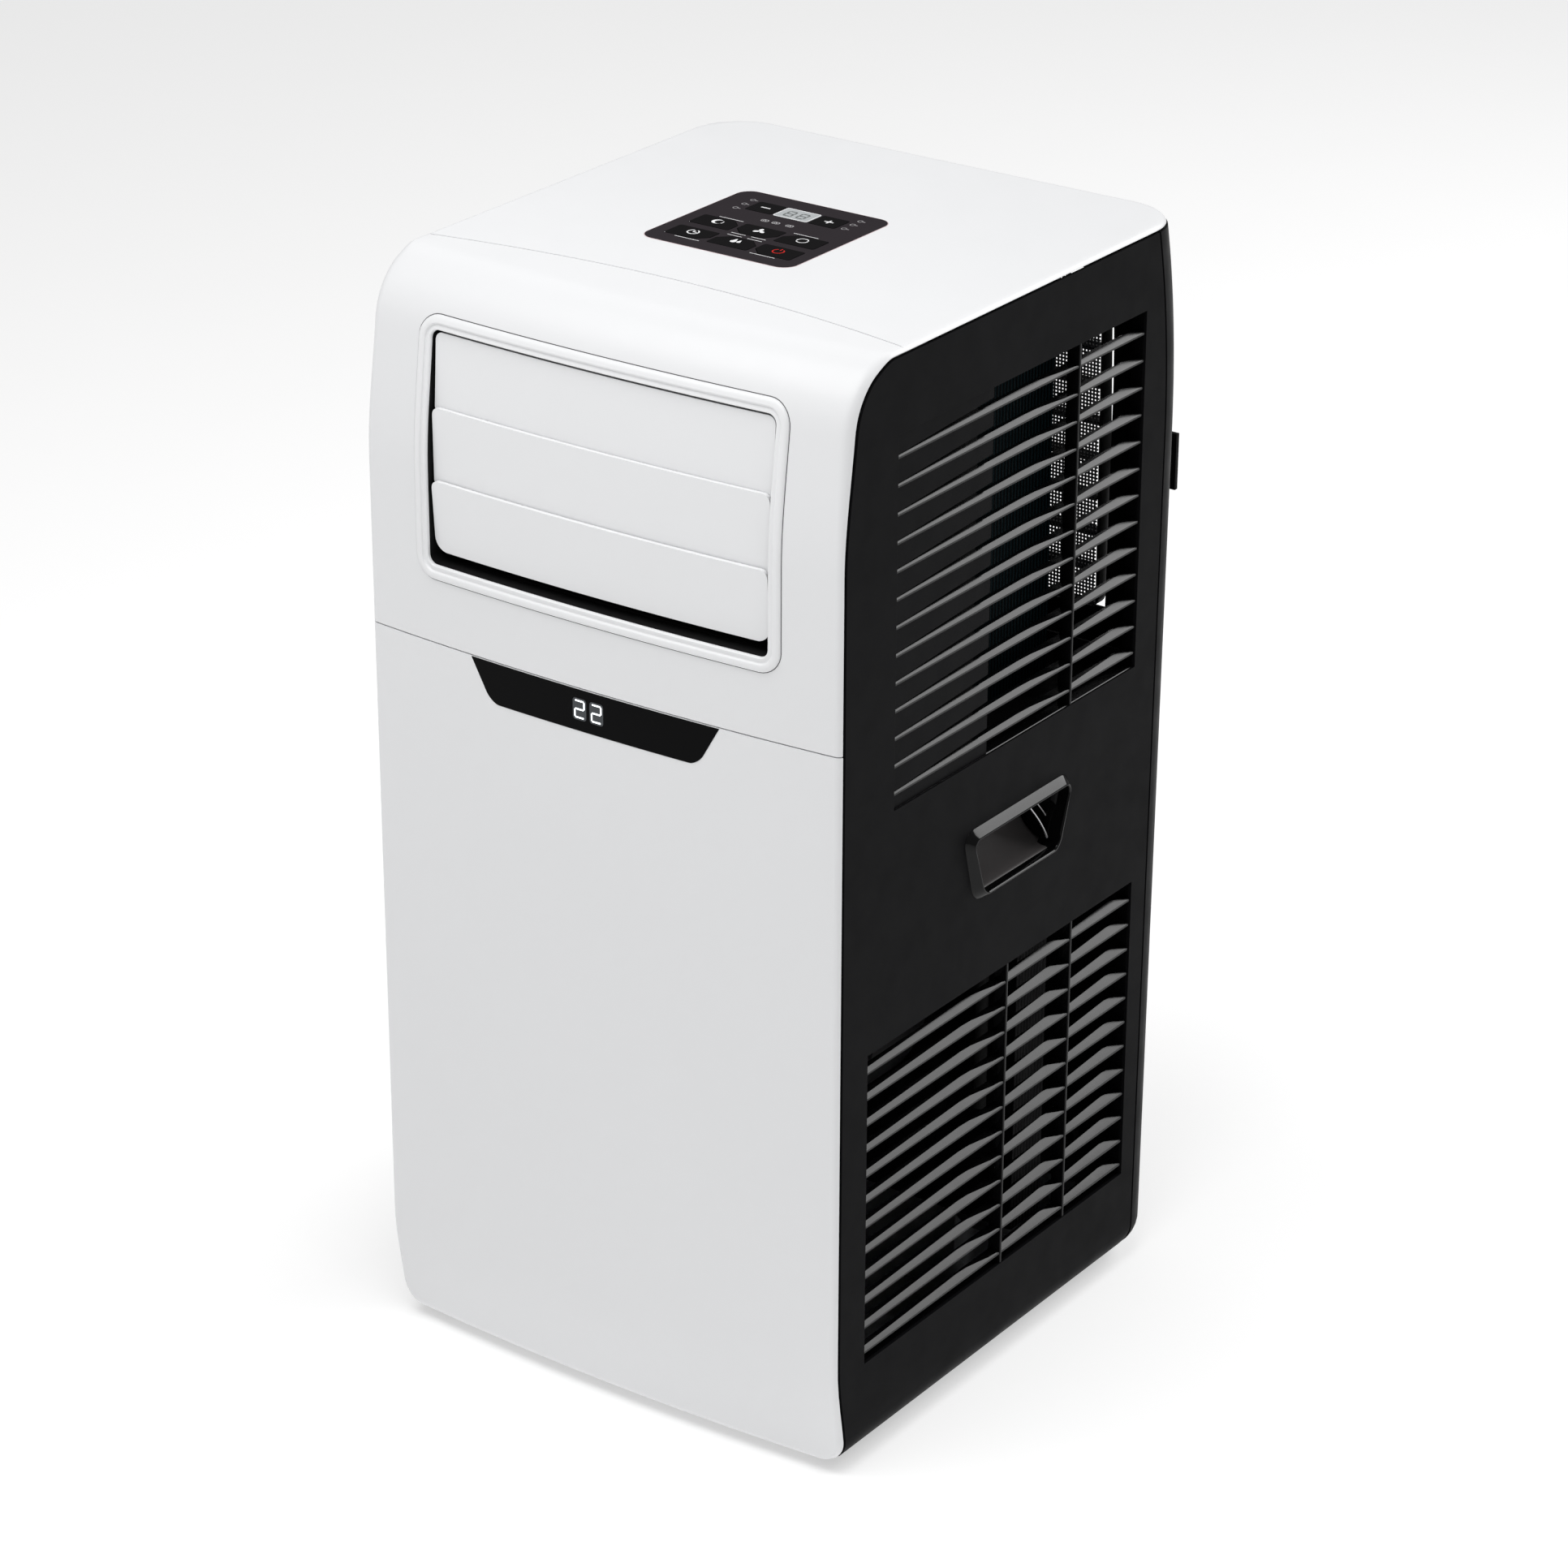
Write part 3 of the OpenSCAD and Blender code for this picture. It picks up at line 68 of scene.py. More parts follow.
def arc_in(radius: float, depth: Array | float) -> Array | float:
    """How far a rounded edge has drawn in at a depth below its face.

    Formula: the radius minus the root of radius squared minus (radius minus depth) squared.

    Args:
        radius: The edge's radius.
        depth: Distance from the face the edge runs out to.

    Returns:
        The draw-in, nought from one radius down.
    """
    left = np.clip(radius - depth, 0.0, radius)
    return radius - np.sqrt(np.maximum(radius * radius - left * left, 0.0))


def rounded_polygon(corners: list[tuple[float, float]] | Array, radius: float, steps: int = 6) -> Array:
    """A closed outline with every corner turned into an arc.

    Formula: each arc's centre lies on the corner's bisector, radius over the sine of the half angle
    away, and its points turn evenly from one tangent point to the other.

    Args:
        corners: The sharp corners in order.
        radius: Radius of every arc.
        steps: Points on each arc.

    Returns:
        Points (corners times steps, 2).
    """
    at = np.asarray(corners, float)
    back = np.roll(at, 1, axis=0) - at
    ahead = np.roll(at, -1, axis=0) - at
    back /= np.linalg.norm(back, axis=1, keepdims=True)
    ahead /= np.linalg.norm(ahead, axis=1, keepdims=True)
    half = 0.5 * np.arccos(np.clip((back * ahead).sum(1), -1.0, 1.0))[:, None]
    middle = back + ahead
    middle /= np.linalg.norm(middle, axis=1, keepdims=True)
    centre = at + middle * radius / np.sin(half)
    first = at + back * radius / np.tan(half) - centre
    last = at + ahead * radius / np.tan(half) - centre
    turn = (math.pi - 2.0 * half)[:, :, None]
    share = np.linspace(0.0, 1.0, steps)[None, :, None]
    spread = np.sin((1 - share) * turn) * first[:, None] + np.sin(share * turn) * last[:, None]
    return (centre[:, None] + spread / np.sin(turn)).reshape(-1, 2)


def rounded_loop(half_across: float, half_up: float, radius: float, taper: float = 0.0,
                 corner: int = 9, side: int = 14) -> Array:
    """A closed rounded rectangle, or trapezoid, with points along its straight runs too.

    Formula: four quarter circles about the inner corners joined by evenly divided runs; the taper
    then draws every point in by its share of the way down.

    Args:
        half_across: Half the width at the top.
        half_up: Half the height.
        radius: Corner radius.
        taper: How much narrower each side is at the bottom.
        corner: Points on each quarter circle.
        side: Points inside each straight run.

    Returns:
        Points (4 * (corner + side), 2), anticlockwise from the right.
    """
    turn = np.linspace(0.0, math.pi / 2, corner)
    signs = np.array([(1, 1), (-1, 1), (-1, -1), (1, -1)], float)
    start = np.arange(4)[:, None] * math.pi / 2 + turn[None, :]
    centres = signs * np.array([half_across - radius, half_up - radius])
    arcs = centres[:, None] + radius * np.stack([np.cos(start), np.sin(start)], -1)
    following = np.roll(arcs[:, 0], -1, axis=0)
    share = (np.arange(side) + 1.0) / (side + 1.0)
    runs = arcs[:, -1][:, None] * (1 - share)[None, :, None] + following[:, None] * share[None, :, None]
    loop = np.concatenate([arcs, runs], axis=1).reshape(-1, 2)
    loop[:, 0] *= 1.0 - taper / half_across * (half_up - loop[:, 1]) / (2.0 * half_up)
    return loop


def ring_points(radius: float, start: float = 0.0, stop: float = 360.0, count: int = 24,
                centre: tuple[float, float] = (0.0, 0.0)) -> Array:
    """Points on a circle or an arc, by the cosine and sine of evenly spaced angles.

    Args:
        radius: The circle's radius.
        start: First angle in degrees.
        stop: Last angle in degrees; a full turn leaves out its repeated end.
        count: How many points.
        centre: The circle's centre.

    Returns:
        Points (count, 2).
    """
    turn = np.radians(np.linspace(start, stop, count, endpoint=abs(stop - start) < 360.0))
    return np.stack([centre[0] + radius * np.cos(turn), centre[1] + radius * np.sin(turn)], -1)


def ribbon(path: Array, width: float) -> Array:
    """The closed outline of a line with a width.

    Formula: each point moves half the width along the normal of the line through its neighbours,
    to one side on the way out and to the other on the way back.

    Args:
        path: Points (N, 2).
        width: Width of the ribbon.

    Returns:
        Points (2 N, 2).
    """
    along = np.gradient(path, axis=0)
    along /= np.linalg.norm(along, axis=1, keepdims=True)
    normal = np.stack([-along[:, 1], along[:, 0]], -1) * width / 2
    return np.concatenate([path + normal, (path - normal)[::-1]])


# ---------------------------------------------------------------- finishes
class Board:
    """The nodes of one material."""

    def __init__(self, name: str) -> None:
        """Starts an empty material of that name.

        Args:
            name: Name of the material.
        """
        self.material = bpy.data.materials.new(name)
        self.material.use_nodes = True
        self.tree = self.material.node_tree
        self.tree.nodes.clear()
        self.output = self.add("ShaderNodeOutputMaterial", {})
        self.place = self.add("ShaderNodeTexCoord", {}).outputs["Object"]

    def add(self, kind: str, inputs: dict, **settings: object) -> bpy.types.Node:
        """Adds a node.

        Args:
            kind: Blender's name of the node.
            inputs: Socket name or number to a value or to another node's output.
            settings: Attributes of the node.

        Returns:
            The new node.
        """
        node = self.tree.nodes.new(kind)
        for key, value in settings.items():
            setattr(node, key, value)
        for key, value in inputs.items():
            if isinstance(value, bpy.types.NodeSocket):
                self.tree.links.new(value, node.inputs[key])
            else:
                node.inputs[key].default_value = value
        return node

    def noise(self, size: float, detail: float = 2.0) -> bpy.types.NodeSocket:
        """Noise whose grains are about that many metres across."""
        return self.add("ShaderNodeTexNoise", {"Vector": self.place, "Scale": 1.0 / size,
                                               "Detail": detail}).outputs[0]

    def spread(self, value: bpy.types.NodeSocket, low: float, high: float, first: float = 0.3,
               last: float = 0.7) -> bpy.types.NodeSocket:
        """Maps a value between first and last onto low and high, and holds it there."""
        return self.add("ShaderNodeMapRange", {"Value": value, "From Min": first, "From Max": last,
                                               "To Min": low, "To Max": high}).outputs[0]

    def tones(self, value: bpy.types.NodeSocket, low: Colour, high: Colour, first: float = 0.3,
              last: float = 0.7) -> bpy.types.NodeSocket:
        """Maps a value onto a run from one colour to another.

        Args:
            value: The value that picks the colour.
            low: The colour at the run's start.
            high: The colour at its end.
            first: The value at which the run starts.
            last: The value at which it ends.

        Returns:
            The socket that gives the colour.
        """
        ramp = self.add("ShaderNodeValToRGB", {"Fac": value})
        ramp.color_ramp.elements[0].position = first
        ramp.color_ramp.elements[1].position = last
        ramp.color_ramp.elements[0].color = (*low, 1.0)
        ramp.color_ramp.elements[1].color = (*high, 1.0)
        return ramp.outputs[0]

    def bump(self, height: bpy.types.NodeSocket, strength: float, distance: float) -> bpy.types.NodeSocket:
        """Turns a height into a bumped normal."""
        return self.add("ShaderNodeBump", {"Height": height, "Strength": strength,
                                           "Distance": distance}).outputs[0]

    def surface(self, shader: bpy.types.NodeSocket) -> bpy.types.Material:
        """Joins a shader to the output and gives back the material."""
        self.tree.links.new(shader, self.output.inputs["Surface"])
        return self.material


def shade(colour: Colour, share: float) -> Colour:
    """A colour with every channel multiplied by a share."""
    return tuple(min(1.0, c * share) for c in colour)


@dataclass(frozen=True)
class Moulded:
    """Moulded plastic, rubber or painted metal: fine grain, slow tone changes, uneven gloss."""

    name: str
    colour: Colour
    roughness: float = 0.35
    specular: float = 0.5
    metallic: float = 0.0
    grain: float = 0.06
    grain_size: float = 0.0011
    tone: float = 0.03
    wear: float = 0.04
    glow: float = 0.0

    def material(self) -> bpy.types.Material:
        """Builds the material's nodes.

        Returns:
            The material.
        """
        board = Board(self.name)
        slow = board.noise(0.13, 3.0)
        middle = board.noise(0.018, 4.0)
        fine = board.noise(self.grain_size, 2.0)
        shader = board.add("ShaderNodeBsdfPrincipled", {
            "Base Color": board.tones(slow, shade(self.colour, 1 - self.tone), shade(self.colour, 1 + self.tone)),
            "Roughness": board.spread(middle, max(0.02, self.roughness - self.wear),
                                      min(1.0, self.roughness + self.wear)),
            "Normal": board.bump(fine, self.grain, 0.0002),
            "Specular IOR Level": self.specular,
            "Metallic": self.metallic,
        })
        if self.glow > 0.0:
            shader.inputs["Emission Color"].default_value = (*self.colour, 1.0)
            shader.inputs["Emission Strength"].default_value = self.glow
        return board.surface(shader.outputs[0])


@dataclass(frozen=True)
class Striped:
    """Thin sheet fins side by side from front to rear: light edges, dark gaps and a few bent ones. The fin edges
    carry the fins' own colour; the dark gaps between them are painted shade.
    """

    name: str
    light: Colour
    dark: Colour
    pitch: float = 0.0035
    roughness: float = 0.5
    metallic: float = 0.2
    specular: float = 0.05

    def material(self) -> bpy.types.Material:
        """Builds the material's nodes: a wave of that pitch, its phase stirred by slow noise.

        Returns:
            The material.
        """
        board = Board(self.name)
        wave = board.add("ShaderNodeTexWave", {
            "Vector": board.place, "Scale": WAVE / self.pitch, "Distortion": 1.2, "Detail": 2.0,
            "Detail Scale": 0.6}, bands_direction="Y").outputs[1]
        shader = board.add("ShaderNodeBsdfPrincipled", {
            # The wave runs from the painted shade of the gaps between fins to the fins' own colour at their edges.
            "Base Color": board.tones(wave, self.dark, self.light, 0.35, 0.75),
            "Roughness": board.spread(board.noise(0.01), self.roughness - 0.1, self.roughness + 0.1),
            "Normal": board.bump(wave, 0.5, 0.0006),
            "Metallic": self.metallic,
            "Specular IOR Level": self.specular,
        })
        return board.surface(shader.outputs[0])


@dataclass(frozen=True)
class Woven:
    """A filter's net: threads both ways with open squares between them."""

    name: str
    colour: Colour
    pitch: float = 0.0024
    open_share: float = 0.55

    def material(self) -> bpy.types.Material:
        """Builds the nodes: two crossed waves, the darker of them open to what lies behind.

        Returns:
            The material.
        """
        board = Board(self.name)
        scale = WAVE / self.pitch
        upright = board.add("ShaderNodeTexWave", {"Vector": board.place, "Scale": scale},
                            bands_direction="X").outputs[1]
        level = board.add("ShaderNodeTexWave", {"Vector": board.place, "Scale": scale},
                          bands_direction="Z").outputs[1]
        thread = board.add("ShaderNodeMath", {0: upright, 1: level}, operation="MAXIMUM").outputs[0]
        shader = board.add("ShaderNodeBsdfPrincipled", {
            "Base Color": board.tones(board.noise(0.02), shade(self.colour, 0.85), self.colour),
            "Roughness": board.spread(board.noise(0.004), 0.45, 0.65),
            "Alpha": board.spread(thread, 0.0, 1.0, self.open_share, self.open_share + 0.12),
            "Normal": board.bump(thread, 0.4, 0.0003),
        })
        return board.surface(shader.outputs[0])


MADE: dict[str, bpy.types.Material] = {}


class Finish(Enum):
    """Every finish on the machine."""

    SHELL = Moulded("white_shell_look", (0.80, 0.805, 0.815), 0.36, 0.4, grain=0.02, tone=0.004, wear=0.03)
    # Painted light: the shell's white made lighter, to make up for the flaps tilting down away from the lamps above;
    # the outlet bezel shares it.
    WHITE_PAINTED_LIGHTER = Moulded("white_painted_lighter_look", (0.83, 0.835, 0.845), 0.32, 0.4, grain=0.02, tone=0.004, wear=0.02)
    PANEL = Moulded("satin_black_look", (0.0050, 0.0050, 0.0055), 0.42, 0.022, grain=0.06, tone=0.10, wear=0.05)
    BLADE = Moulded("blade_black_look", (0.004, 0.004, 0.0043), 0.20, 0.20, grain=0.0, tone=0.06, wear=0.02)
    GLOSS = Moulded("gloss_black_look", (0.003, 0.003, 0.0033), 0.10, 0.12, grain=0.015, tone=0.06, wear=0.03)
    GLASS = Moulded("display_black_look", (0.0015, 0.0015, 0.0017), 0.07, 0.05, grain=0.01, tone=0.06, wear=0.03)
    RIM = Moulded("handle_gloss_look", (0.002, 0.002, 0.0022), 0.12, 0.18, grain=0.0, tone=0.06, wear=0.02)
    # Painted light: the pocket floor's grey is raised well above the handle's black, to make up for the shade it lies
    # in.
    SCOOP_PAINTED_LIGHT = Moulded("handle_scoop_painted_light_look", (0.075, 0.070, 0.070), 0.46, 0.25, grain=0.02, tone=0.1)
    DARK = Moulded("dark_duct_look", (0.006, 0.006, 0.0062), 0.6, 0.2, grain=0.1, tone=0.12)
    BLANK = Moulded("inner_screen_look", (0.0015, 0.0015, 0.0015), 0.8, 0.02, grain=0.1, tone=0.1)
    OVERLAY = Moulded("overlay_grey_look", (0.030, 0.026, 0.029), 0.36, 0.0, grain=0.02, tone=0.05)
    OVERLAY_EDGE = Moulded("overlay_edge_look", (0.62, 0.50, 0.51), 0.4, 0.4, grain=0.03, tone=0.03)
    KEY = Moulded("key_gloss_look", (0.005, 0.0045, 0.005), 0.2, 0.006, grain=0.01, tone=0.1)
    PRINT = Moulded("white_print_look", (0.80, 0.80, 0.81), 0.5, 0.05, grain=0.02, tone=0.02)
    RED_PRINT = Moulded("red_print_look", (0.55, 0.02, 0.015), 0.5, 0.05, grain=0.02, tone=0.05)
    GREY_PRINT = Moulded("grey_print_look", (0.38, 0.37, 0.38), 0.5, 0.05, grain=0.02, tone=0.04)
    READOUT = Moulded("readout_grey_look", (0.40, 0.42, 0.43), 0.3, 0.05, grain=0.02, tone=0.05)
    SEGMENT = Moulded("segment_dark_look", (0.12, 0.13, 0.13), 0.4, 0.3, grain=0.02, tone=0.05)
    GLOWING = Moulded("glowing_digit_look", (0.92, 0.96, 1.0), 0.4, 0.3, grain=0.02, tone=0.02, glow=1.6)
    HALO = Moulded("digit_halo_look", (0.05, 0.055, 0.06), 0.3, 0.3, grain=0.02, tone=0.1)
    # Painted shadow: a thin dark ribbon round the outlet bezel stands in for the shade in its hairline gap.
    SEAM_SHADOW = Moulded("seam_shadow_look", (0.10, 0.10, 0.105), 0.7, 0.1, grain=0.05, tone=0.1)
    BOARD = Moulded("circuit_board_look", (0.02, 0.09, 0.035), 0.45, 0.5, grain=0.3, grain_size=0.004, tone=0.3)
    PAN = Moulded("galvanised_pan_look", (0.42, 0.43, 0.44), 0.42, 0.5, metallic=0.9, grain=0.2, grain_size=0.008,
                  tone=0.15, wear=0.15)
    TRAY = Moulded("tray_plastic_look", (0.008, 0.008, 0.0085), 0.5, 0.4, grain=0.12, tone=0.1)
    ZINC = Moulded("zinc_steel_look", (0.55, 0.55, 0.56), 0.32, 0.5, metallic=1.0, grain=0.1, tone=0.08, wear=0.1)
    TREAD = Moulded("caster_tread_look", (0.018, 0.018, 0.019), 0.55, 0.4, grain=0.2, grain_size=0.002, tone=0.15)
    PAINT = Moulded("compressor_paint_look", (0.012, 0.012, 0.013), 0.3, 0.5, grain=0.15, grain_size=0.003, tone=0.1)
    RUBBER = Moulded("foot_rubber_look", (0.015, 0.015, 0.015), 0.75, 0.3, grain=0.25, grain_size=0.002, tone=0.12)
    FOAM = Moulded("pipe_foam_look", (0.010, 0.010, 0.010), 0.85, 0.2, grain=0.5, grain_size=0.003, tone=0.2)
    # The coils' dark stripes are painted shade in the gaps between the fins.
    FINS = Striped("coil_fins_look", (0.003, 0.011, 0.014), (0.0003, 0.0008, 0.001))
    WARM_FINS = Striped("condenser_fins_look", (0.008, 0.008, 0.0085), (0.001, 0.001, 0.0011))
    NET = Woven("filter_net_look", (0.05, 0.052, 0.055))

    def get(self) -> bpy.types.Material:
        """The finish's material, built the first time it is asked for.

        Returns:
            The material, the same one each time.
        """
        if self.name not in MADE:
            MADE[self.name] = self.value.material()
        return MADE[self.name]


# ---------------------------------------------------------------- meshes
@dataclass
class Shape:
    """Patches of points in millimetres that are welded into one mesh."""

    points: list[Array] = field(default_factory=list)
    quads: list[Array] = field(default_factory=list)
    rings: list[list[int]] = field(default_factory=list)
    count: int = 0

    def patch(self, grid: Array, inside: tuple[float, float, float] | None = None,
              keep: Array | None = None, wrap: bool = False, wrap_rows: bool = False) -> "Shape":
        """Adds a grid of points, with a quad between each four neighbours.

        Args:
            grid: Points (rows, columns, 3).
            inside: A point behind the surface; the quads are turned to face away from it.
            keep: Which quads to keep, (rows - 1, columns - 1).
            wrap: Whether the last column joins the first.
            wrap_rows: Whether the last row joins the first.

        Returns:
            The shape itself.
        """
        rows, columns = grid.shape[:2]
        index = np.arange(rows * columns).reshape(rows, columns)
        if wrap:
            index = np.concatenate([index, index[:, :1]], 1)
        if wrap_rows:
            index = np.concatenate([index, index[:1]], 0)
        faces = np.stack([index[:-1, :-1], index[:-1, 1:], index[1:, 1:], index[1:, :-1]], -1)
        faces = faces[keep] if keep is not None else faces.reshape(-1, 4)
        flat = grid.reshape(-1, 3)
        if inside is not None:
            corner = flat[faces]
            normal = np.cross(corner[:, 2] - corner[:, 0], corner[:, 3] - corner[:, 1])
            if (normal * (corner.mean(1) - np.asarray(inside))).sum() < 0.0:
                faces = faces[:, ::-1]
        self.points.append(flat)
        self.quads.append(faces + self.count)
        self.count += len(flat)
        return self

    def solid(self, grid: Array) -> "Shape":
        """Adds a closed solid: rings of points in rows, with a cap on the first and on the last.

        Args:
            grid: Points (rings, points round, 3).

        Returns:
            The shape itself.
        """
        start, ring = self.count, grid.shape[1]
        self.patch(grid, wrap=True)
        self.rings.append(list(range(start, start + ring)))
        self.rings.append(list(range(self.count - ring, self.count)))
        return self

    def slab(self, loops: list[Array], low: float, high: float, lift: "Lift | None" = None) -> "Shape":
        """Adds a flat plate with holes, standing between two heights.

        Args:
            loops: The outline first and then the holes, each (N, 2).
            low: Height of its underside.
            high: Height of its top.
            lift: Turns (x, y, height) into a place on the machine; upright plates use it.

        Returns:
            The shape itself.
        """
        flat = np.concatenate(loops)
        triangles = np.array(tessellate_polygon([[Vector((*p, 0.0)) for p in loop] for loop in loops]))
        total = len(flat)
        both = np.concatenate([np.column_stack([flat, np.full(total, low)]),
                               np.column_stack([flat, np.full(total, high)])])
        self.points.append(lift(both) if lift else both)
        start = self.count
        for triangle in np.concatenate([triangles + start, triangles[:, ::-1] + start + total]).tolist():
            self.rings.append(triangle)
        for loop in loops:
            index = start + np.arange(len(loop))
            ahead = np.roll(index, -1)
            self.quads.append(np.stack([index, ahead, ahead + total, index + total], -1))
            start += len(loop)
        self.count += 2 * total
        return self

    def mesh(self, name: str, closed: bool) -> bpy.types.Mesh:
        """Welds the patches into a mesh in metres.

        Args:
            name: The mesh's name.
            closed: Whether it is made of closed solids, whose faces are then turned outwards.

        Returns:
            The mesh, smooth, with its creases marked sharp.
        """
        data = bpy.data.meshes.new(name)
        quads = np.concatenate(self.quads) if self.quads else np.zeros((0, 4), int)
        data.from_pydata((np.concatenate(self.points) * MM).tolist(), [], quads.tolist() + self.rings)
        work = bmesh.new()
        work.from_mesh(data)
        bmesh.ops.remove_doubles(work, verts=work.verts, dist=WELD)
        bmesh.ops.dissolve_degenerate(work, dist=SLIVER, edges=work.edges)
        if closed:
            bmesh.ops.recalc_face_normals(work, faces=work.faces)
        work.to_mesh(data)
        work.free()
        data.shade_smooth()
        data.set_sharp_from_angle(angle=CREASE)
        return data

    def build(self, name: str, body: str, finish: Finish, slot: str, replaces: tuple[str, ...] = (),
              wall: float = 0.0, edge: float = 0.0, closed: bool = True) -> bpy.types.Object:
        """Makes the piece, dresses it and rides it on its body.

        Args:
            name: Name of the piece.
            body: CAD body that it moves with.
            finish: What it is made of.
            slot: Name of a material slot; it is not used.
            replaces: CAD nodes that it stands for.
            wall: Thickness given inwards to a sheet, in millimetres.
            edge: Width of the rounding on its sharp edges, in millimetres.
            closed: Whether the shape is made of closed solids already.

        Returns:
            The piece.
        """
        piece = bpy.data.objects.new(name, self.mesh(name, closed))
        bpy.context.scene.collection.objects.link(piece)
        piece.data.materials.append(finish.get())
        if wall > 0.0:
            thick = piece.modifiers.new("wall", "SOLIDIFY")
            thick.thickness = wall * MM
            thick.offset = -1.0
        if edge > 0.0:
            soft = piece.modifiers.new("edge", "BEVEL")
            soft.width = edge * MM
            soft.segments = 2
            soft.limit_method = "ANGLE"
            soft.angle_limit = BEVEL_FROM
            soft.use_clamp_overlap = True
            soft.harden_normals = True
        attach(piece, body)
        if replaces:
            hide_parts(*replaces)
        log.info("%s: %d faces on %s", name, len(piece.data.polygons), body)
        return piece


class Lift:
    """Turns a plate's own (across, up, height) into a place on the machine."""

    def __init__(self, front: "CabinetForm") -> None:
        """Keeps the form whose front face it lies on."""
        self.front = front

    def __call__(self, points: Array) -> Array:
        """Across stays X, up becomes Z, and height stands out from the bowed front face."""
        out = self.front.face_y(points[:, 0], points[:, 1]) - points[:, 2]
        return np.column_stack([points[:, 0], out, points[:, 1]])


# ---------------------------------------------------------------- cabinet
@dataclass
class CabinetForm:
    """The cabinet's outer form: a bowed front that rolls over a shoulder into a flat top."""

    half_w: float = 172.5
    foot_z: float = 8.0
    top_z: float = 711.0
    edge_y: float = -191.8
    back_y: float = 185.6
    bow: float = 7.6
    shoulder: float = 38.0
    lean: float = 10.5
    lean_h: float = 120.213
    foot_set: float = 8.014
    foot_h: float = 70.3
    foot_roll: float = 5.0
    rear_lean: float = 15.0
    rear_lean_h: float = 135.679
    rear_foot_set: float = 6.046
    rear_roll: float = 20.0
    edge_r: float = 4.5
    shoulder_edge: float = 3.2
    side_roll: float = 18.0
    corner_r: float = 38.0
    border_turn: float = math.radians(63.3)
    seam_z: float = 482.525
    seam_gap: float = 1.6
    top_seam_y: float = -133.8
    top_seam_bow: float = 20.0
    rear_seam: float = 34.96
    wall: float = 2.2

    def __post_init__(self) -> None:
        """Works out the middle line of the skin, from the foot up the front and back along the top."""
        roll = np.linspace(0.0, math.pi / 2, 9)
        foot = self.foot_z + self.foot_roll * (1 - np.cos(roll))
        shoulder_z = self.top_z - self.shoulder
        straight = np.linspace(foot[-1], shoulder_z, 170)[1:-1]
        turn = np.linspace(0.0, math.pi / 2, 40)
        z = np.concatenate([foot, straight, shoulder_z + self.shoulder * np.sin(turn)])
        y = np.concatenate([self.edge_y + self.front_set(np.concatenate([foot, straight])),
                            self.edge_y + self.lean_in(shoulder_z + self.shoulder * np.sin(turn))
                            + self.shoulder * (1 - np.cos(turn))])
        self.flat_y = float(y[-1])
        self.spine_y = np.concatenate([y, np.linspace(self.flat_y, 0.0, 60)[1:]])
        self.spine_z = np.concatenate([z, np.full(59, self.top_z)])
        step = np.hypot(np.diff(self.spine_y), np.diff(self.spine_z))
        self.spine_t = np.concatenate([[0.0], np.cumsum(step)])
        self.flat_t = float(self.spine_t[len(z) - 1])
        along_y, along_z = np.gradient(self.spine_y, self.spine_t), np.gradient(self.spine_z, self.spine_t)
        length = np.hypot(along_y, along_z)
        self.out_y, self.out_z = -along_z / length, along_y / length

    def lean_in(self, z: Array | float) -> Array | float:
        """How far the front has leant back at a height, by a smooth step over the leaning part."""
        return self.lean * (1.0 - smooth((self.top_z - z) / self.lean_h))

    def front_set(self, z: Array | float) -> Array | float:
        """How far the front's middle line stands behind its furthest plane: shoulder, lean, foot and foot roll.

        Args:
            z: Heights.

        Returns:
            The distance back, one for each height.
        """
        return (arc_in(self.shoulder, self.top_z - z) + self.lean_in(z)
                + self.foot_set * (1.0 - smooth((z - self.foot_z) / self.foot_h))
                + arc_in(self.foot_roll, z - self.foot_z))

    def crown(self, x: Array | float) -> Array | float:
        """How far the bow pushes the front forward: its full depth, less the square of the share out."""
        return self.bow * (1.0 - (x / self.half_w) ** 2)

    def face_y(self, x: Array, z: Array) -> Array:
        """Depth of the front face at a place across and a height."""
        return self.edge_y + self.front_set(z) - self.crown(x)

    def back_set(self, z: Array) -> Array:
        """How far the back has drawn in: its lean at the top, its slope and its roll at the foot.

        Args:
            z: Heights.

        Returns:
            The distance in, one for each height.
        """
        below = self.top_z - z
        return (self.rear_lean * (1.0 - np.clip(below / self.rear_lean_h, 0, 1)) ** 2.2
                + self.rear_foot_set * np.clip((below - self.rear_lean_h)
                                               / (self.top_z - self.foot_z - self.rear_lean_h), 0, 1)
                + arc_in(self.rear_roll, z - self.foot_z))

    def at_height(self, z: Array | float) -> Array | float:
        """Distance along the middle line at which the front reaches a height."""
        front = self.spine_t <= self.flat_t
        return np.interp(z, self.spine_z[front], self.spine_t[front])

    def edge_radius(self, t: Array) -> Array:
        """Radius of the front's side edge: it swells round the shoulder and settles again on the top.

        Args:
            t: Places along the front's middle line.

        Returns:
            The radius at each place.
        """
        z, y = np.interp(t, self.spine_t, self.spine_z), np.interp(t, self.spine_t, self.spine_y)
        rise = smooth((z - 590.0) / 90.0)
        fall = 1.0 - smooth((y - (self.flat_y - 16.0)) / 16.0)
        return self.edge_r + self.shoulder_edge * rise * fall

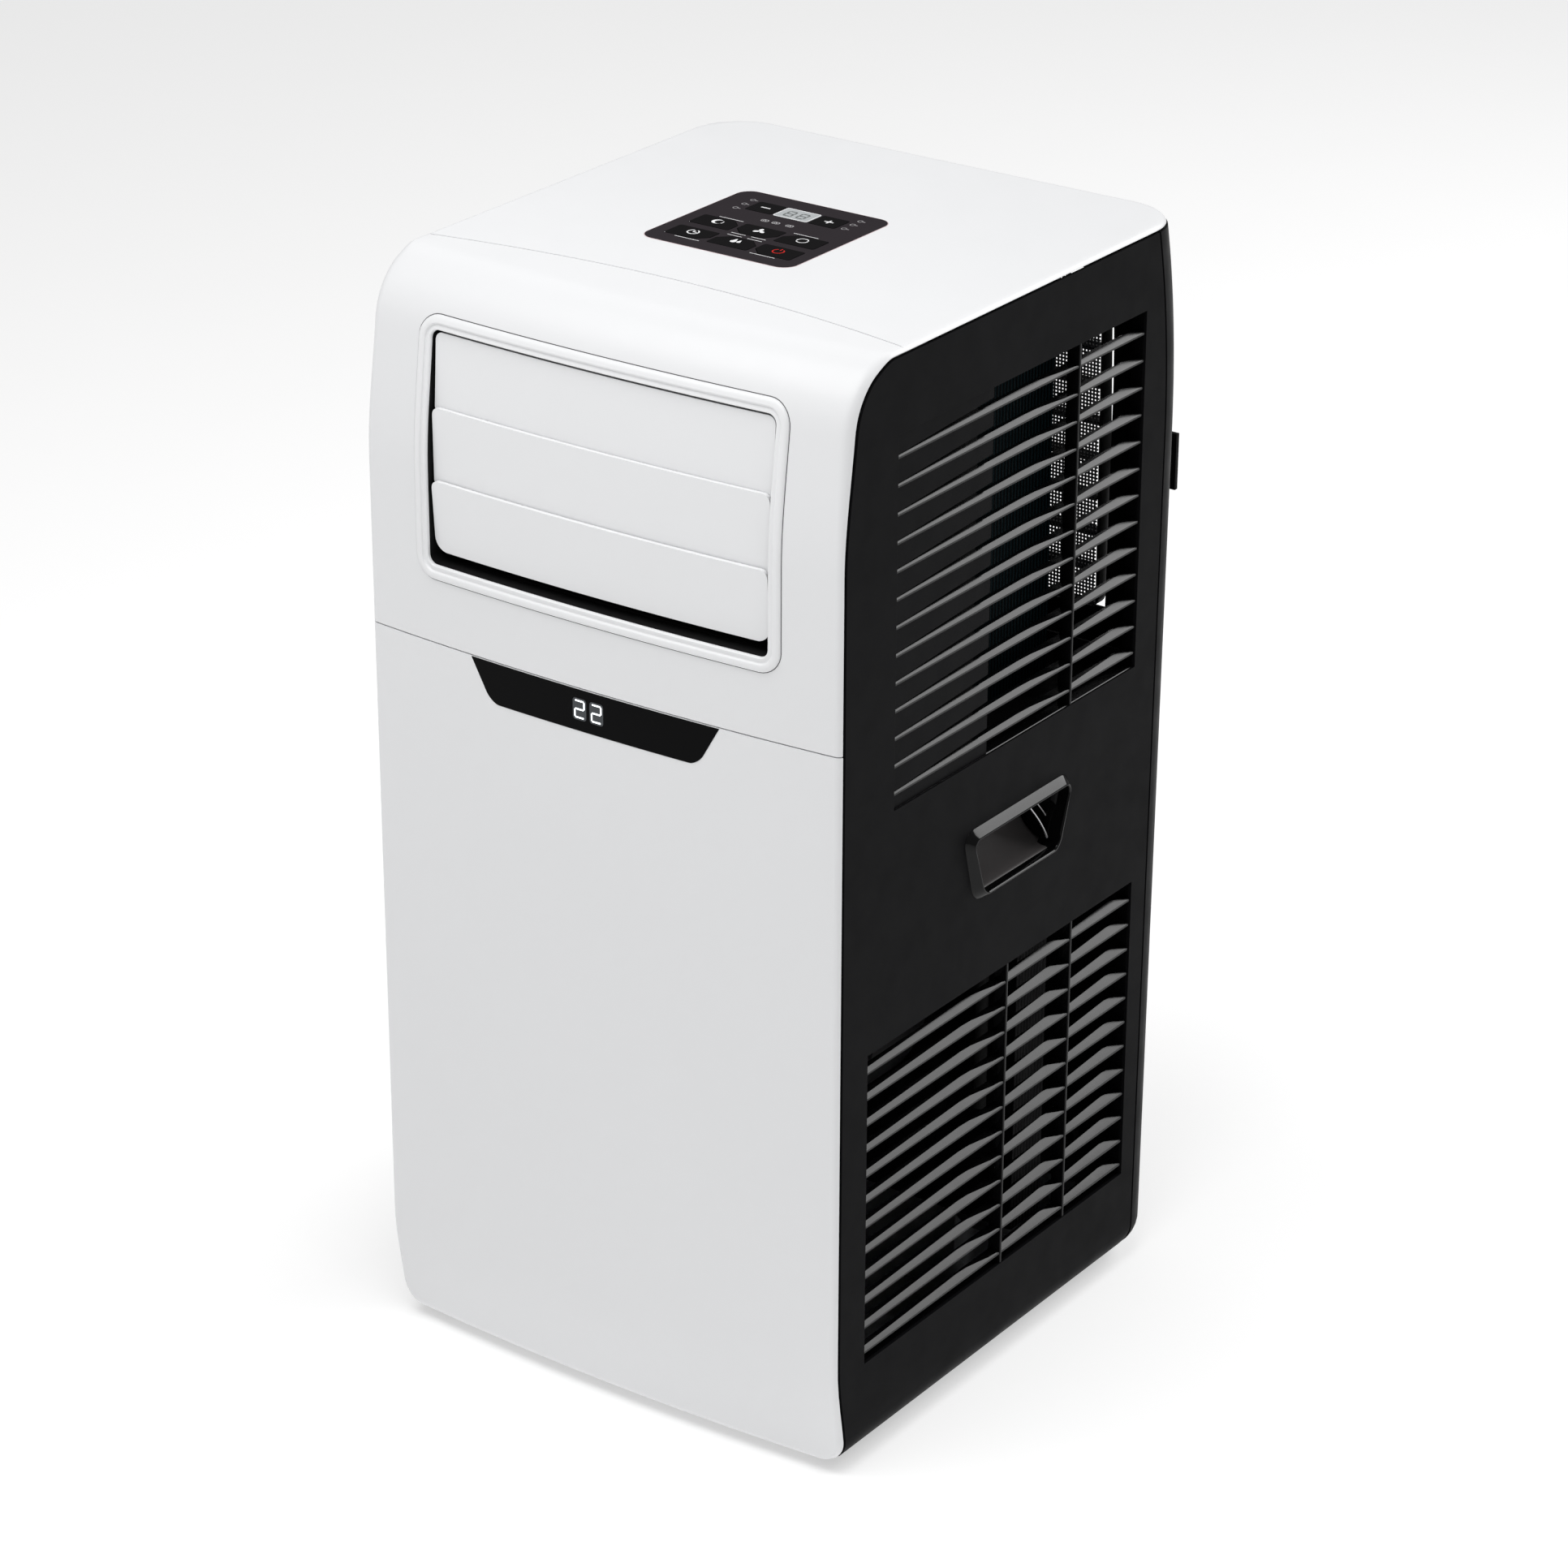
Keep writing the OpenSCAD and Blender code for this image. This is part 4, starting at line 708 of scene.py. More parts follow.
    def skin(self, across: Array, turn: Array, t: Array, lift: float = 0.0) -> Array:
        """Points of the white skin.

        Formula: the middle line's point at t, pushed forward by the crown; past the side edge it
        turns about the edge's centre, going out by its sine and in by one minus its cosine.

        Args:
            across: Place across the flat part, from -1 at one edge's start to 1 at the other's.
            turn: Angle turned round the side edge, nought on the flat part.
            t: Distance along the middle line.
            lift: How far the points stand off the skin.

        Returns:
            Points with the arguments' shared shape and a last axis of 3.
        """
        across, turn, t = np.broadcast_arrays(across, turn, t)
        y, z = np.interp(t, self.spine_t, self.spine_y), np.interp(t, self.spine_t, self.spine_z)
        out_y, out_z = np.interp(t, self.spine_t, self.out_y), np.interp(t, self.spine_t, self.out_z)
        radius = self.edge_radius(t)
        half = self.half_w - np.where(t < self.flat_t, arc_in(self.side_roll, z - self.foot_z), 0.0)
        x = across * (half - radius) + np.sign(across) * (radius + lift) * np.sin(turn)
        sink = radius - (radius + lift) * np.cos(turn)
        y = y - out_y * sink - self.crown(np.clip(x, -self.half_w, self.half_w))
        return np.stack([x, y, z - out_z * sink], -1)

    def side_border(self, gap: float) -> tuple[Array, Array]:
        """The side panel's front border: the middle line drawn in past the white edge and a gap.

        Args:
            gap: Clear width between the white edge and the panel.

        Returns:
            Heights, rising, and the depth at each.
        """
        near = self.spine_t <= self.flat_t
        inset = self.edge_radius(self.spine_t) * (1 - math.cos(self.border_turn)) + gap
        y = (self.spine_y - self.out_y * inset)[near]
        z = (self.spine_z - self.out_z * inset)[near]
        return np.maximum.accumulate(z), y


@dataclass
class WhiteShell:
    """The three white mouldings: upper front, lower front and top cover."""

    form: CabinetForm
    outlet_half: float = 127.8
    outlet_low: float = 528.5
    outlet_high: float = 681.0
    display_half: float = 72.0
    display_low: float = 459.5
    overlay_x: float = -13.5
    overlay_y: float = -6.9
    overlay_half: float = 50.0
    seam: float = 0.7
    seam_half: float = 177.5

    def columns(self, hole: float) -> tuple[Array, Array, Array]:
        """Places across, from one side's border to the other's, with a line on both sides of a hole.

        Args:
            hole: Half width of the hole.

        Returns:
            Shares across, angles turned round the edges, and the same places in millimetres.
        """
        flat = self.form.half_w - self.form.edge_r
        outer = np.linspace(hole, flat, 8)
        x = np.concatenate([-outer[::-1], np.linspace(-hole, hole, 49)[1:-1], outer])
        roll = np.linspace(0.0, self.form.border_turn, 8)[1:]
        share = np.concatenate([np.full(7, -1.0), x / flat, np.full(7, 1.0)])
        turn = np.concatenate([roll[::-1], np.zeros(len(x)), roll])
        return share, turn, share * flat

    def top_seam(self, x: Array) -> Array:
        """Depth of the seam on the top: its ends' depth, and a bow that falls off by the square across."""
        return self.form.top_seam_y + self.form.top_seam_bow * (1 - (x / self.seam_half) ** 2)

    def upper(self) -> bpy.types.Object:
        """Upper front: the skin from the seam over the shoulder to a bowed seam on the top.

        Returns:
            The piece.
        """
        form = self.form
        share, turn, x = self.columns(self.outlet_half)
        low = float(form.at_height(form.seam_z)) + self.seam / 2
        marks = form.at_height(np.array([self.outlet_low, self.outlet_high]))
        fixed = np.concatenate([np.linspace(low, marks[0], 9), np.linspace(marks[0], marks[1], 30)[1:],
                                np.linspace(marks[1], form.flat_t, 26)[1:]])
        seam_y = self.top_seam(x) + form.crown(x) - self.seam / 2
        ease = np.linspace(0.0, 1.0, 8)[1:, None]
        top = form.flat_t + (seam_y - form.flat_y)[None, :] * ease
        t = np.concatenate([np.broadcast_to(fixed[:, None], (len(fixed), len(x))), top])
        grid = form.skin(share[None, :], turn[None, :], t)
        middle = (x[1:] + x[:-1]) / 2
        level = np.concatenate([(fixed[1:] + fixed[:-1]) / 2, np.full(7, np.inf)])
        hole = (np.abs(middle) < self.outlet_half)[None, :] & ((level > marks[0]) & (level < marks[1]))[:, None]
        return Shape().patch(grid, (0, 0, 400), ~hole).build(
            "upper_front", "cabinet", Finish.SHELL, "white_shell", ("upper_front_panel",),
            form.wall, 0.35, False)

    def lower(self) -> bpy.types.Object:
        """Lower front: the skin from the foot's roll up to the seam, open behind the display.

        Returns:
            The piece.
        """
        form = self.form
        share, turn, x = self.columns(self.display_half)
        high = float(form.at_height(form.seam_z)) - self.seam / 2
        mark = float(form.at_height(self.display_low))
        t = np.concatenate([np.linspace(0.0, 9.0, 10), np.linspace(9.0, 32.0, 12)[1:],
                            np.linspace(32.0, mark, 36)[1:], np.linspace(mark, high, 5)[1:]])
        grid = form.skin(share[None, :], turn[None, :], t[:, None])
        middle, level = (x[1:] + x[:-1]) / 2, (t[1:] + t[:-1]) / 2
        hole = (np.abs(middle) < self.display_half)[None, :] & (level > mark)[:, None]
        hole[-1] = False
        return Shape().patch(grid, (0, 0, 300), ~hole).build(
            "lower_front", "cabinet", Finish.SHELL, "white_shell", ("lower_front_panel",),
            form.wall, 0.35, False)

    def top(self) -> bpy.types.Object:
        """Top cover: a flat lid whose rim draws down by an arc of the distance to its outline.

        Returns:
            The piece.
        """
        form = self.form
        border = form.edge_r * (1 - math.sin(form.border_turn))
        rim = np.array([4.5, 3.6, 2.8, 2.1, 1.5, 1.0, 0.7, border])
        half = form.half_w
        side = np.concatenate([np.linspace(130.0, half - 5.5, 18), half - rim])
        x = np.concatenate([-side[::-1], np.linspace(-130.0, 130.0, 41)[1:-1], side])
        rear = form.back_y - form.rear_lean
        over = np.clip(np.abs(x) - (half - form.corner_r), 0.0, form.corner_r - border)
        outline = rear - form.corner_r + np.sqrt((form.corner_r - border) ** 2 - over ** 2)
        start = self.top_seam(x) + self.seam / 2
        share = np.linspace(0.0, 1.0, 44)[:, None]
        main = start[None, :] * (1 - share) + (outline - 5.0)[None, :] * share
        last = outline[None, :] - (rim[1:] - border)[:, None]
        y = np.concatenate([main, last])
        across = np.broadcast_to(x, y.shape)
        out_x = np.clip(np.abs(across) - (half - form.corner_r), 0.0, None)
        out_y = np.clip(y - (rear - form.corner_r), 0.0, None)
        corner = form.corner_r - np.hypot(out_x, out_y)
        depth = np.where((out_x > 0) & (out_y > 0), corner, np.minimum(half - np.abs(across), rear - y))
        grid = np.stack([across, y, form.top_z - arc_in(form.edge_r, np.maximum(depth, border))], -1)
        centre = (grid[1:, 1:] + grid[:-1, :-1]) / 2
        hole = ((np.abs(centre[..., 0] - self.overlay_x) < self.overlay_half - 5)
                & (np.abs(centre[..., 1] - self.overlay_y) < self.overlay_half - 5))
        return Shape().patch(grid, (0, 0, 0), ~hole).build(
            "top_lid", "cabinet", Finish.SHELL, "white_shell", ("top_cover",), form.wall, 0.35, False)

    def build(self) -> None:
        """Builds the three mouldings."""
        self.upper()
        self.lower()
        self.top()


@dataclass
class RearCover:
    """The black cover that wraps round both rear corners."""

    form: CabinetForm
    seam_turn: float = math.radians(85.4)
    filter_half: float = 113.85
    filter_low: float = 435.631
    filter_high: float = 658.275
    vent_low: float = 92.4
    vent_high: float = 240.0
    vent_pitch: float = 14.0
    vent_slot: float = 7.0
    vent_rib: float = 3.0
    port_z: float = 338.41
    port_hole: float = 80.0

    def build(self) -> None:
        """Builds the cover: the outline at each height, drawn in at foot and back, with its openings."""
        form = self.form
        low = form.foot_z
        high = form.top_z - form.edge_r * (1 - math.cos(form.border_turn)) - form.seam_gap
        slots = np.arange(self.vent_low, self.vent_high - self.vent_slot, self.vent_pitch)
        z = np.unique(np.round(np.concatenate([
            low + form.rear_roll * (1 - np.cos(np.linspace(0, math.pi / 2, 10))), np.arange(34, 92, 8.0),
            slots, slots + self.vent_slot, np.arange(244.0, self.filter_low - 3, 5.5),
            np.linspace(self.filter_low, self.filter_high, 28), np.linspace(self.filter_high, high, 10)]), 3))
        turn = np.linspace(self.seam_turn, 0.0, 16)
        corner = form.half_w - form.corner_r
        flat = np.concatenate([np.linspace(corner, self.filter_half, 4)[1:],
                               np.linspace(self.filter_half, self.vent_rib, 21)[1:]])
        flat = np.concatenate([flat, -flat[::-1]])
        x_base = np.concatenate([np.full(16, corner), flat, np.full(16, -corner)])
        turns = np.concatenate([turn, np.zeros(len(flat)), turn[::-1]])
        sign = np.sign(x_base)
        inset = arc_in(form.side_roll, z - form.foot_z)[:, None]
        radius = form.corner_r
        x = x_base[None, :] + sign[None, :] * (radius - inset) * np.sin(turns)[None, :]
        shift = (form.back_y - form.back_set(z) + arc_in(form.rear_roll, z - form.foot_z))[:, None]
        y = shift - radius + (radius - inset) * np.cos(turns)[None, :]
        grid = np.stack([x, y, np.broadcast_to(z[:, None], x.shape)], -1)
        mid_x = (x_base[1:] + x_base[:-1]) / 2
        mid_z = (z[1:] + z[:-1]) / 2
        inside = np.abs(mid_x)[None, :] < self.filter_half
        opening = inside & ((mid_z > self.filter_low) & (mid_z < self.filter_high))[:, None]
        phase = np.mod(mid_z - self.vent_low, self.vent_pitch)
        vent = ((mid_z > self.vent_low) & (mid_z < slots[-1] + self.vent_slot) & (phase < self.vent_slot))[:, None]
        vent = vent & inside & (np.abs(mid_x)[None, :] > self.vent_rib)
        port = np.hypot(mid_x[None, :], (mid_z - self.port_z)[:, None]) < self.port_hole - 4
        Shape().patch(grid, (0, 60, 350), ~(opening | vent | port)).build(
            "rear_wrap", "cabinet", Finish.PANEL, "black_panel", ("rear_cover",), form.wall, 0.3, False)
        self.inner_screen()

    def inner_screen(self) -> None:
        """The dark sheet behind the vents: it follows the rear, and its rows swing to and fro in fine ribs."""
        form = self.form
        level = np.linspace(self.vent_low - 6.0, self.vent_high + 6.0, 60)
        depth = form.back_y - form.back_set(level) - 7.0 + 0.5 * np.cos(np.arange(len(level)) * math.pi)
        across = np.linspace(-self.filter_half - 4.0, self.filter_half + 4.0, 12)
        size = (len(level), len(across))
        screen = np.stack([np.broadcast_to(across, size), np.broadcast_to(depth[:, None], size),
                           np.broadcast_to(level[:, None], size)], -1)
        Shape().patch(screen, (0, 60, 160)).build("vent_screen", "cabinet", Finish.BLANK, "dark_duct",
                                                  wall=1.0, closed=False)


@dataclass
class Opening:
    """One grille opening: its borders, its mullions and its first blade."""

    fore: float
    aft: float
    low: float
    high: float
    mullions: tuple[float, ...]
    first: float
    chamfers: tuple[tuple[float, float], ...]
    sill: float = 0.0


@dataclass
class Grille:
    """Blades, mullions and the wall round one opening."""

    form: CabinetForm
    opening: Opening
    pitch: float = 17.27
    thick: float = 1.8
    depth: float = 8.5
    front_inset: float = 0.8
    rise: float = 1.2
    mullion: float = 2.0
    ring: float = 1.8
    tilt: float = math.radians(35.0)
    plate_inset: float = 1.4
    plate: float = 1.2

    def chamfer(self, share: Array, first: float, last: float) -> Array:
        """Width of a blade's lit front chamfer along a bay: it grows, then runs out to a point at the rear.

        Formula: an even growth from first to last, times one minus a smooth step over the rear third.
        """
        return (first + (last - first) * share) * (1.0 - 0.94 * smooth((share - 0.72) / 0.28)) + 0.12

    def bar(self, z: float, fore: float, aft: float, width: Array, side: int) -> Array:
        """One blade as rings of a section along Y.

        Formula: an upright nose, a chamfer that rises inwards at its own width, and a thin web behind.

        Args:
            z: Height of the blade's top at its nose.
            fore: Its front end.
            aft: Its rear end.
            width: Width of the chamfer at evenly spaced places.
            side: 1 for the right side, -1 for the left.

        Returns:
            Points (places, points of the section, 3).
        """
        face = self.form.half_w - self.front_inset
        back = self.form.half_w - self.depth
        run, climb = width * math.cos(self.tilt), width * math.sin(self.tilt)
        nought = np.zeros_like(width)
        x = np.stack([nought + face - 0.35, nought + face, nought + face, face - 0.3 + nought, face - 0.3 - run,
                      face - 0.9 - run, nought + back, nought + back], -1)
        up = np.stack([nought - self.thick, nought - self.thick + 0.35, nought - 0.3, nought, climb, climb - 0.25,
                       nought + self.rise * 0.4, nought + self.rise * 0.4 - 1.2], -1)
        y = np.broadcast_to(np.linspace(fore, aft, len(width))[:, None], x.shape)
        return np.stack([side * x, y, up + z], -1)

    def heights(self) -> Array:
        """Height of each blade's top, from the top down.

        Returns:
            The heights, one for each blade.
        """
        opening = self.opening
        count = math.floor((opening.high - opening.low - opening.first - self.thick) / self.pitch)
        return opening.high - opening.first - self.pitch * np.arange(count + 1)

    def add_blades(self, shape: Shape, side: int) -> None:
        """Adds each blade of each bay as a closed bar along Y.

        Args:
            shape: The shape that takes the blades.
            side: 1 for the right side, -1 for the left.
        """
        opening = self.opening
        stops = [opening.fore - 0.6, *opening.mullions, opening.aft + 0.6]
        share = np.linspace(0.0, 1.0, 15)
        for index, (fore, aft) in enumerate(zip(stops[:-1], stops[1:])):
            width = self.chamfer(share, opening.chamfers[index][0], opening.chamfers[index][1])
            ends = (fore + (self.mullion * 0.4 if index else 0.0),
                    aft - (self.mullion * 0.4 if index < len(opening.mullions) else 0.0))
            for z in self.heights():
                shape.solid(self.bar(float(z), *ends, width, side))
        if opening.sill > 0.0:
            shape.solid(self.bar(opening.low - 0.2, stops[0], stops[-1], np.full(3, opening.sill), side))

    def add_plates(self, shape: Shape, side: int, aft: float) -> None:
        """Adds the flat plates that close the fore part of each gap, above a slot that widens rearwards.

        Args:
            shape: The shape that takes the plates.
            side: 1 for the right side, -1 for the left.
            aft: Where the plates end.
        """
        face = self.form.half_w - self.plate_inset
        fore = self.opening.fore - 0.5
        heights = np.append(self.heights(), self.heights()[-1] - self.pitch)
        tops = np.concatenate([[self.opening.high + 0.6], heights[:-1] - self.thick * 0.6])
        for index, (top, z) in enumerate(zip(tops, heights)):
            low = (z + 0.7, z + 6.4) if index < len(heights) - 1 else (self.opening.low - 0.4,) * 2
            outline = np.array([(fore, low[0]), (aft, low[1]), (aft, top), (fore, top)])
            if top - low[1] > 0.5:
                shape.solid(np.stack([np.column_stack([np.full(4, side * x), outline])
                                      for x in (face, face - self.plate)]))

    def add_walls(self, shape: Shape, side: int) -> None:
        """Adds the wall round the opening and the mullions: rounded outlines carried inwards.

        Args:
            shape: The shape that takes the walls.
            side: 1 for the right side, -1 for the left.
        """
        opening = self.opening
        half = ((opening.aft - opening.fore) / 2, (opening.high - opening.low) / 2)
        centre = ((opening.aft + opening.fore) / 2, (opening.high + opening.low) / 2)
        front, back = self.form.half_w - 1.6, self.form.half_w - self.depth - 1.0
        rows = [(0.05, front), (0.05, back), (self.ring, back), (self.ring, front)]
        grid = np.stack([np.column_stack([np.full(len(loop), side * x), loop + centre])
                         for grow, x in rows
                         for loop in [rounded_loop(half[0] + grow, half[1] + grow, 0.6 + grow, corner=4, side=3)]])
        shape.patch(grid, wrap=True, wrap_rows=True)
        for y in opening.mullions:
            first, last = y - self.mullion / 2, y + self.mullion / 2
            corners = [(first, back), (last, back), (last, front + 1.2), (first, front + 1.2)]
            outline = rounded_polygon(corners, 0.5, 4)
            ends = (opening.low - 0.4, opening.high + 0.4)
            shape.solid(np.stack([np.column_stack([side * outline[:, 1], outline[:, 0], np.full(len(outline), z)])
                                  for z in ends]))


@dataclass
class Handle:
    """A grab handle: a proud gloss rim round a scooped pocket."""

    form: CabinetForm
    centre_y: float = -5.899
    centre_z: float = 361.468
    half_y: float = 59.0
    half_z: float = 25.0
    taper: float = 13.0
    corner: float = 11.0
    depth: float = 34.0
    scoop_wall: float = 2.4
    reach: float = 6.6

    def outline(self, inset: float, corner: int = 9, side: int = 14) -> Array:
        """The rim's outline drawn in by a distance, in Y and Z about the handle's centre."""
        return rounded_loop(self.half_y - inset, self.half_z - inset, max(2.5, self.corner - 0.8 * inset),
                            self.taper, corner, side)

    def place(self, loop: Array, x: float, side: int) -> Array:
        """Puts an outline at a distance out on one side."""
        return np.column_stack([np.full(len(loop), side * x), loop[:, 0] + self.centre_y, loop[:, 1] + self.centre_z])

    def rim(self, side: int, name: str) -> None:
        """The rim: its section of insets and heights carried round the outline, closed behind.

        Args:
            side: 1 for the right side, -1 for the left.
            name: The side's name, which ends each piece's name.
        """
        section = [(0.0, 0.0), (0.2, 0.45), (4.3, 4.55), (4.55, 4.8), (4.9, 4.95), (5.4, 4.9), (5.8, 4.5),
                   (6.05, 3.4), (6.2, 1.6), (6.6, -6.0), (6.6, -9.0), (4.8, -9.0), (4.8, -2.2)]
        grid = np.stack([self.place(self.outline(inset), self.form.half_w + height, side)
                         for inset, height in section])
        Shape().patch(grid, wrap=True, wrap_rows=True).build(
            f"handle_rim_{name}", "cabinet", Finish.RIM, "gloss_black", (f"handle_cup_{name}",))

    def scoop(self, side: int, name: str) -> None:
        """The pocket: a floor that curves in and up to the back wall, and the roof and ends behind the rim.

        Formula of the floor: in by the sine and up by one minus the cosine of a quarter turn.

        Args:
            side: 1 for the right side, -1 for the left.
            name: The side's name, which ends each piece's name.
        """
        form = self.form
        turn = np.linspace(0.0, math.pi / 2, 22)
        low = -self.half_z + self.reach
        x = np.concatenate([[form.half_w + 0.5], form.half_w - 3.0 - (self.depth - 5.4) * np.sin(turn),
                            np.full(3, form.half_w - self.depth + self.scoop_wall)])
        z = np.concatenate([[low - 0.4], low + 26.0 * (1 - np.cos(turn)), [low + 34.0, low + 44.0, low + 52.0]])
        half = (self.half_y - self.taper * (self.half_z - np.clip(z, -30.0, self.half_z)) / (2 * self.half_z)
                - self.reach + 0.6)
        share = np.linspace(-1.0, 1.0, 42)
        y = share[None, :] * half[:, None]
        grid = np.stack([np.broadcast_to(side * x[:, None], y.shape), y + self.centre_y,
                         np.broadcast_to(z[:, None] + self.centre_z, y.shape)], -1)
        # The pocket floor takes the grey that is painted light for its shaded pocket.
        Shape().patch(grid, (side * (form.half_w - 40), self.centre_y, self.centre_z - 60)).build(
            f"handle_scoop_{name}", "cabinet", Finish.SCOOP_PAINTED_LIGHT, "gloss_black", wall=1.6, closed=False)
        shape = Shape()
        front = np.full_like(x, form.half_w - 3.0)
        for end in (-1.0, 1.0):
            edge = np.stack([side * x, end * half + self.centre_y, z + self.centre_z], -1)
            mouth = np.stack([side * np.maximum(front, x), end * half + self.centre_y, z + self.centre_z], -1)
            ease = np.linspace(0.0, 1.0, 5)[:, None, None]
            shape.patch(edge[None] * (1 - ease) + mouth[None] * ease,
                        (side * (form.half_w - 15), self.centre_y + end * 200, self.centre_z))
        roof_z, back = self.centre_z + z[-1], form.half_w - self.depth + self.scoop_wall
        corners = np.array([[back, -half[-1]], [form.half_w - 6.0, -half[-1]], [form.half_w - 6.0, half[-1]],
                            [back, half[-1]]])
        roof = np.column_stack([side * corners[:, 0], corners[:, 1] + self.centre_y, np.full(4, roof_z)])
        shape.patch(roof[[0, 1, 3, 2]].reshape(2, 2, 3), (side * (form.half_w - 15), self.centre_y, roof_z + 50))
        lip = np.array([[form.half_w - 6.0, roof_z], [form.half_w - 6.0, self.centre_z + self.half_z - self.reach]])
        curtain = np.stack([np.column_stack([np.full(2, side * lx), np.array([-1, 1]) * half[-1] + self.centre_y,
                                             np.full(2, lz)]) for lx, lz in lip])
        shape.patch(curtain, (side * (form.half_w + 20), self.centre_y, self.centre_z + 40))
        shape.build(f"handle_pocket_{name}", "cabinet", Finish.GLOSS, "gloss_black", wall=1.2, closed=False)

    def ribs(self, side: int, name: str) -> None:
        """Two curved ribs at the pocket's rear end: round bars along an arc from the roof to the lip, in bright zinc
        that paints a highlight line along the pocket's end.

        Args:
            side: 1 for the right side, -1 for the left.
            name: The side's name, which ends each piece's name.
        """
        shape = Shape()
        share = np.linspace(0.0, 1.0, 18)
        ring = ring_points(1.0, count=8)
        for offset, thick in ((0.0, 0.8), (8.0, 0.55)):
            y = self.centre_y + 20.0 + offset + 21.0 * np.sin(share * math.pi / 2) ** 1.1
            z = self.centre_z + self.half_z - 4.0 - (2 * self.half_z - 12.0) * share
            x = self.form.half_w - 13.0 + 9.5 * share ** 1.6
            spine = np.stack([side * x, y, z], -1)
            grid = spine[:, None] + thick * np.stack([ring[:, 0] * side, ring[:, 1], np.zeros(8)], -1)[None]
            shape.solid(grid)
        # Painted highlight: the ribs take bright zinc so that they show as a light line on the black pocket.
        shape.build(f"handle_highlight_ribs_{name}", "cabinet", Finish.ZINC, "gloss_black")

    def build(self, side: int, name: str) -> None:
        """Builds one handle.

        Args:
            side: 1 for the right side, -1 for the left.
            name: The side's name, which ends each piece's name.
        """
        self.rim(side, name)
        self.scoop(side, name)
        self.ribs(side, name)


